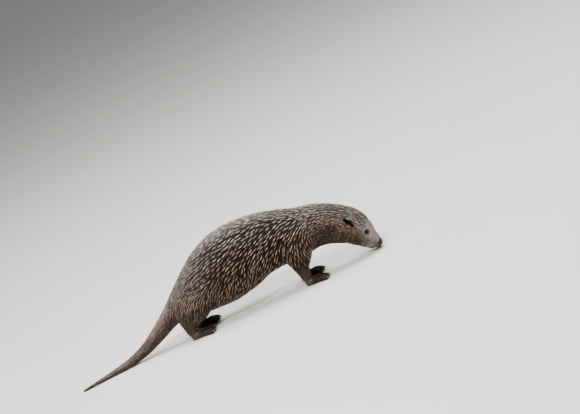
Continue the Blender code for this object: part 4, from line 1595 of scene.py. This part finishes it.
def wet_underfur():
    """Dense underfur soaked flat, seen between the locks, and the bare dark skin of feet, lids and lips. The
    fur is darker where soaked, partly wet fur's own colour and partly painted shade between the locks, and
    black where hollow is set, painted shade.
    """
    material, tree, shader = new_material("wet_underfur", 0.5, 1.5, Coat_Roughness=0.2, Coat_IOR=1.33)
    colour = marked_colour(tree)
    comb = node(tree, "ShaderNodeAttribute", {"attribute_name": "comb"}).outputs["Vector"]
    bare, soaked, hollow = (
        node(tree, "ShaderNodeAttribute", {"attribute_name": name}).outputs["Fac"]
        for name in ("bare", "soaked", "hollow")
    )
    # Strands about 0.7 mm apart and 8 mm long.
    strand_scale = (120, 1400, 1)
    stretched = node(tree, "ShaderNodeVectorMath", TIMES, _0=comb, _1=strand_scale).outputs[0]
    flat = {"noise_dimensions": "2D"}
    strands = node(tree, "ShaderNodeTexNoise", flat, Vector=stretched, Scale=1.0, Detail=3.0, Roughness=0.6)
    strand = strands.outputs["Fac"]
    depth = {"From_Min": 0.3, "From_Max": 0.7, "To_Min": 0.30, "To_Max": 0.55}
    dim = node(tree, "ShaderNodeMapRange", Value=strand, **depth).outputs[0]
    # Darker where soaked: the wet fur's own darker colour and painted shade down between the locks.
    deep = node(tree, "ShaderNodeMapRange", Value=soaked, To_Min=1.6, To_Max=0.15).outputs[0]
    dim = node(tree, "ShaderNodeMath", TIMES, _0=dim, _1=deep).outputs[0]
    fur = node(tree, "ShaderNodeHueSaturation", Value=dim, Color=colour).outputs[0]
    # Skin's creases about 0.8 mm apart.
    place = node(tree, "ShaderNodeTexCoord").outputs["Object"]
    cells = {"feature": "DISTANCE_TO_EDGE"}
    crease = node(tree, "ShaderNodeTexVoronoi", cells, Vector=place, Scale=1200.0).outputs["Distance"]
    blotch = node(tree, "ShaderNodeTexNoise", Vector=place, Scale=260.0, Detail=3.0).outputs["Fac"]
    black, brown = linear("#15100e"), linear("#3a2d26")
    skin = node(tree, "ShaderNodeMix", COLOURS, _0=blotch, _6=black, _7=brown).outputs[2]
    colour = node(tree, "ShaderNodeMix", COLOURS, _0=bare, _6=fur, _7=skin).outputs[2]
    # Black without gloss where hollow is set: painted shade in the ear slots, the ear cups and the nostril
    # slits, and on the dark rims of the lids.
    colour = node(tree, "ShaderNodeMix", COLOURS, _0=hollow, _6=colour, _7=linear("#080606")).outputs[2]
    tree.links.new(colour, shader.inputs["Base Color"])
    dull = node(tree, "ShaderNodeMath", {"operation": "MAXIMUM"}, _0=hollow, _1=soaked).outputs[0]
    for socket, full in (("Specular IOR Level", 0.5), ("Coat Weight", 0.2)):
        gloss = node(tree, "ShaderNodeMapRange", Value=dull, To_Min=full, To_Max=0.0).outputs[0]
        tree.links.new(gloss, shader.inputs[socket])
    height = node(tree, "ShaderNodeMix", {"data_type": "FLOAT"}, _0=bare, _2=strand, _3=crease).outputs[0]
    bump = node(tree, "ShaderNodeBump", Strength=0.7, Distance=0.0006, Height=height)
    tree.links.new(bump.outputs[0], shader.inputs["Normal"])
    return material


def eye_gloss():
    """A dark brown iris round a black pupil under a clear wet cornea, so one sharp highlight."""
    material, tree, shader = new_material("wet_cornea", 0.05, 1.376, Specular_IOR_Level=0.22)
    angle = node(tree, "ShaderNodeAttribute", {"attribute_name": "from_axis"}).outputs["Fac"]
    out = node(tree, "ShaderNodeMapRange", Value=angle, From_Max=60.0).outputs[0]
    stops = node(tree, "ShaderNodeValToRGB", Fac=out)
    ring = stops.color_ramp
    ring.elements[0].color = linear("#050404")
    ring.elements[1].color = linear("#120c0a")
    for place, colour in ((0.30, "#040303"), (0.36, "#170d07"), (0.62, "#110a06"), (0.72, "#060404")):
        ring.elements.new(place).color = linear(colour)
    tree.links.new(stops.outputs[0], shader.inputs["Base Color"])
    return material


def nose_leather():
    """Bare wet nose skin: small flat granules with fine grooves between, dark brown, almost glossy."""
    material, tree, shader = new_material("nose_leather", 0.42, 1.45, Coat_Roughness=0.15, Coat_IOR=1.33)
    # Granules about 0.7 mm across, under darker and lighter patches of about 6 mm.
    place = node(tree, "ShaderNodeTexCoord").outputs["Object"]
    cells = {"feature": "DISTANCE_TO_EDGE"}
    groove = node(tree, "ShaderNodeTexVoronoi", cells, Vector=place, Scale=1500.0).outputs["Distance"]
    cloud = node(tree, "ShaderNodeTexNoise", Vector=place, Scale=180.0, Detail=4.0).outputs["Fac"]
    black, brown = linear("#17100e"), linear("#40302b")
    colour = node(tree, "ShaderNodeMix", COLOURS, _0=cloud, _6=black, _7=brown).outputs[2]
    # Painted shade: the colour darkens in the grooves between the granules.
    edge = node(tree, "ShaderNodeMapRange", Value=groove, From_Max=0.12, To_Min=0.65).outputs[0]
    colour = node(tree, "ShaderNodeHueSaturation", Value=edge, Color=colour).outputs[0]
    hollow = node(tree, "ShaderNodeAttribute", {"attribute_name": "hollow"}).outputs["Fac"]
    # Painted shade: black in the nostrils, where hollow is set.
    colour = node(tree, "ShaderNodeMix", COLOURS, _0=hollow, _6=colour, _7=linear("#070505")).outputs[2]
    tree.links.new(colour, shader.inputs["Base Color"])
    gloss = node(tree, "ShaderNodeMapRange", Value=hollow, To_Min=0.25, To_Max=0.0).outputs[0]
    tree.links.new(gloss, shader.inputs["Coat Weight"])
    bump = node(tree, "ShaderNodeBump", Strength=0.6, Distance=0.00025, Height=groove)
    tree.links.new(bump.outputs[0], shader.inputs["Normal"])
    return material


def claw_horn():
    """Claw horn: hard keratin, brown and paler in places, with fine lengthwise grain."""
    material, tree, shader = new_material("claw_horn", 0.32, 1.54)
    # Grain about 0.6 mm across and 7 mm long.
    place = node(tree, "ShaderNodeTexCoord").outputs["Object"]
    stretched = node(tree, "ShaderNodeVectorMath", TIMES, _0=place, _1=(150, 1800, 1800)).outputs[0]
    grain = node(tree, "ShaderNodeTexNoise", Vector=stretched, Scale=1.0, Detail=3.0).outputs["Fac"]
    brown, tan = linear("#2a201b"), linear("#6b5646")
    colour = node(tree, "ShaderNodeMix", COLOURS, _0=grain, _6=brown, _7=tan).outputs[2]
    tree.links.new(colour, shader.inputs["Base Color"])
    bump = node(tree, "ShaderNodeBump", Strength=0.3, Distance=0.0001, Height=grain)
    tree.links.new(bump.outputs[0], shader.inputs["Normal"])
    return material


def whisker_hair():
    """Whiskers: thick pale hairs with a soft gloss, browner in places."""
    material, tree, shader = new_material("whisker_hair", 0.35, 1.55)
    # Patches of about 8 mm.
    place = node(tree, "ShaderNodeTexCoord").outputs["Object"]
    cloud = node(tree, "ShaderNodeTexNoise", Vector=place, Scale=120.0, Detail=2.0).outputs["Fac"]
    brown, cream = linear("#6f6259"), linear("#c9bfb3")
    colour = node(tree, "ShaderNodeMix", COLOURS, _0=cloud, _6=brown, _7=cream).outputs[2]
    tree.links.new(colour, shader.inputs["Base Color"])
    return material


def studio_floor():
    """Pale seamless paper, matt, with the faintest mottle."""
    material, tree, shader = new_material("floor_paper", 0.8, 1.45)
    # Mottle of about a third of a metre.
    place = node(tree, "ShaderNodeTexCoord").outputs["Object"]
    cloud = node(tree, "ShaderNodeTexNoise", Vector=place, Scale=3.0, Detail=3.0).outputs["Fac"]
    grey, white = linear("#c9c7c0"), linear("#d3d1ca")
    colour = node(tree, "ShaderNodeMix", COLOURS, _0=cloud, _6=grey, _7=white).outputs[2]
    tree.links.new(colour, shader.inputs["Base Color"])
    return material


# ----------------------------------------------------------------------------------- camera, light, floor


SENSOR_WIDTH = 36  # in millimetres, as the lens
CAMERA_DISTANCE = 8.0
CAMERA_TILT = math.radians(26)  # the slope on which the otter walked, taken out of the ground
CAMERA_RISE = math.radians(12)
VIEW_WIDTH = 1.624  # metres across the view at the otter
AIM = Vector((0.28170, 0.0, 0.2161))
LIT_POINT = Vector((0.05, 0, 0.1))
FLOOR_REACH = 40


def set_camera():
    turn, rise = CAMERA_TILT, CAMERA_RISE
    towards = Vector((math.sin(rise) * math.sin(turn), -math.cos(rise), math.sin(rise) * math.cos(turn)))
    up = Vector((math.cos(rise) * math.sin(turn), math.sin(rise), math.cos(rise) * math.cos(turn)))
    right = Vector((math.cos(turn), 0.0, -math.sin(turn)))
    data = bpy.data.cameras.new("camera")
    data.sensor_width = SENSOR_WIDTH
    data.lens = CAMERA_DISTANCE / VIEW_WIDTH * SENSOR_WIDTH
    camera = link("camera", data)
    axes = Matrix((right, up, towards)).transposed().to_4x4()
    camera.matrix_world = Matrix.Translation(AIM + towards * CAMERA_DISTANCE) @ axes
    data.clip_end = 200
    bpy.context.scene.camera = camera


def set_lights():
    """One large softbox overhead and one on the camera's side, in a pale room."""
    world = bpy.data.worlds.new("room")
    bpy.context.scene.world = world
    world.use_nodes = True
    sky = world.node_tree.nodes["Background"].inputs
    sky["Color"].default_value = linear("#dfe3e8")
    sky["Strength"].default_value = 0.38
    for name, place, size, power in (
        ("softbox_above", (0.2, 0.7, 4.2), 3.4, 430),
        ("softbox_front", (-0.3, -4.0, 3.8), 1.3, 500),
    ):
        data = bpy.data.lights.new(name, "AREA")
        data.shape = "SQUARE"
        data.size = size
        data.energy = power
        lamp = link(name, data)
        lamp.location = place
        lamp.rotation_euler = (LIT_POINT - Vector(place)).to_track_quat("-Z", "Y").to_euler()


def lay_floor():
    mesh = bpy.data.meshes.new("floor")
    corners = [(x * FLOOR_REACH, y * FLOOR_REACH, 0) for x, y in ((-1, -1), (1, -1), (1, 1), (-1, 1))]
    mesh.from_pydata(corners, [], [(0, 1, 2, 3)])
    floor = link("floor", mesh)
    floor.data.materials.append(studio_floor())


# -------------------------------------------------------------------------------------------- the otter


def mark_skin(skin, bare, lip_line):
    """Writes the markings, the bare places and the comb of the fur on the skin."""
    points, normals = points_of(skin.data), normals_of(skin.data)
    coat = coat_at(points, normals)
    set_vectors(skin.data, "tone", markings(points, coat))
    around = coat["angle"] * coat["girth"]
    comb = np.stack([coat["s"], around, np.zeros(len(points))], axis=1)
    for share, _, turn in leg_share(points):
        own = np.stack([points[:, 2], turn * 0.02, np.zeros(len(points))], axis=1)
        comb = np.where((share > 0.6)[:, None], own, comb)
    set_vectors(skin.data, "comb", comb)
    naked = np.maximum(bare, lip_line * 0.8)
    naked = np.maximum(naked, coat["on_foot"] * fade(points[:, 2], 0.004, 0.0015))
    naked = np.maximum(naked, coat["on_foot"] * 0.75)
    set_floats(skin.data, "bare", naked)
    # hollow: painted shade, black without gloss, in the slot under each ear, the cup of its flap and the
    # nostril slits; the lids' dark rims take half of it.
    hollow = np.maximum(ear_share(points), 0.9 * ear_cup(points))
    hollow = np.maximum(hollow, nostril_share(points))
    for side in (-1, 1):
        lids = 0.5 * fade(gap_to_eye(points, side), EYE_RADIUS * 1.22, EYE_RADIUS * 1.08)
        hollow = np.maximum(hollow, lids)
    set_floats(skin.data, "hollow", hollow)
    set_floats(skin.data, "soaked", coat["spiky"])


def build():
    """Makes every piece and gives it its material and body."""
    set_camera()
    set_lights()
    lay_floor()

    skin, bare, lip_line, lips = detailed_skin()
    mark_skin(skin, bare, lip_line)
    skin.data.materials.append(wet_underfur())
    flesh_nodes = [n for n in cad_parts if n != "nose" and not n.startswith("eye")]
    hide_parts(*flesh_nodes)

    hair = guard_hair()
    pieces = [skin]
    for layer, settings in LAYERS.items():
        for piece in grow_layer(skin, lips, layer, **settings):
            piece.data.materials.append(hair)
            pieces.append(piece)

    cornea = eye_gloss()
    for side, name in EYES.items():
        eye = make_eye(name + "_ball", side)
        eye.data.materials.append(cornea)
        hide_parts(name)
        pieces.append(eye)

    nose = make_nose()
    nose.data.materials.append(nose_leather())
    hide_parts("nose")
    pieces.append(nose)

    horn = claw_horn()
    for name, foot in FEET.items():
        claws = make_claws("claws_" + name, foot)
        claws.data.materials.append(horn)
        pieces.append(claws)

    whiskers = make_whiskers(surface_of(skin.data))
    whiskers.data.materials.append(whisker_hair())
    pieces.append(whiskers)

    for piece in pieces:
        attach(piece, "root")


build()
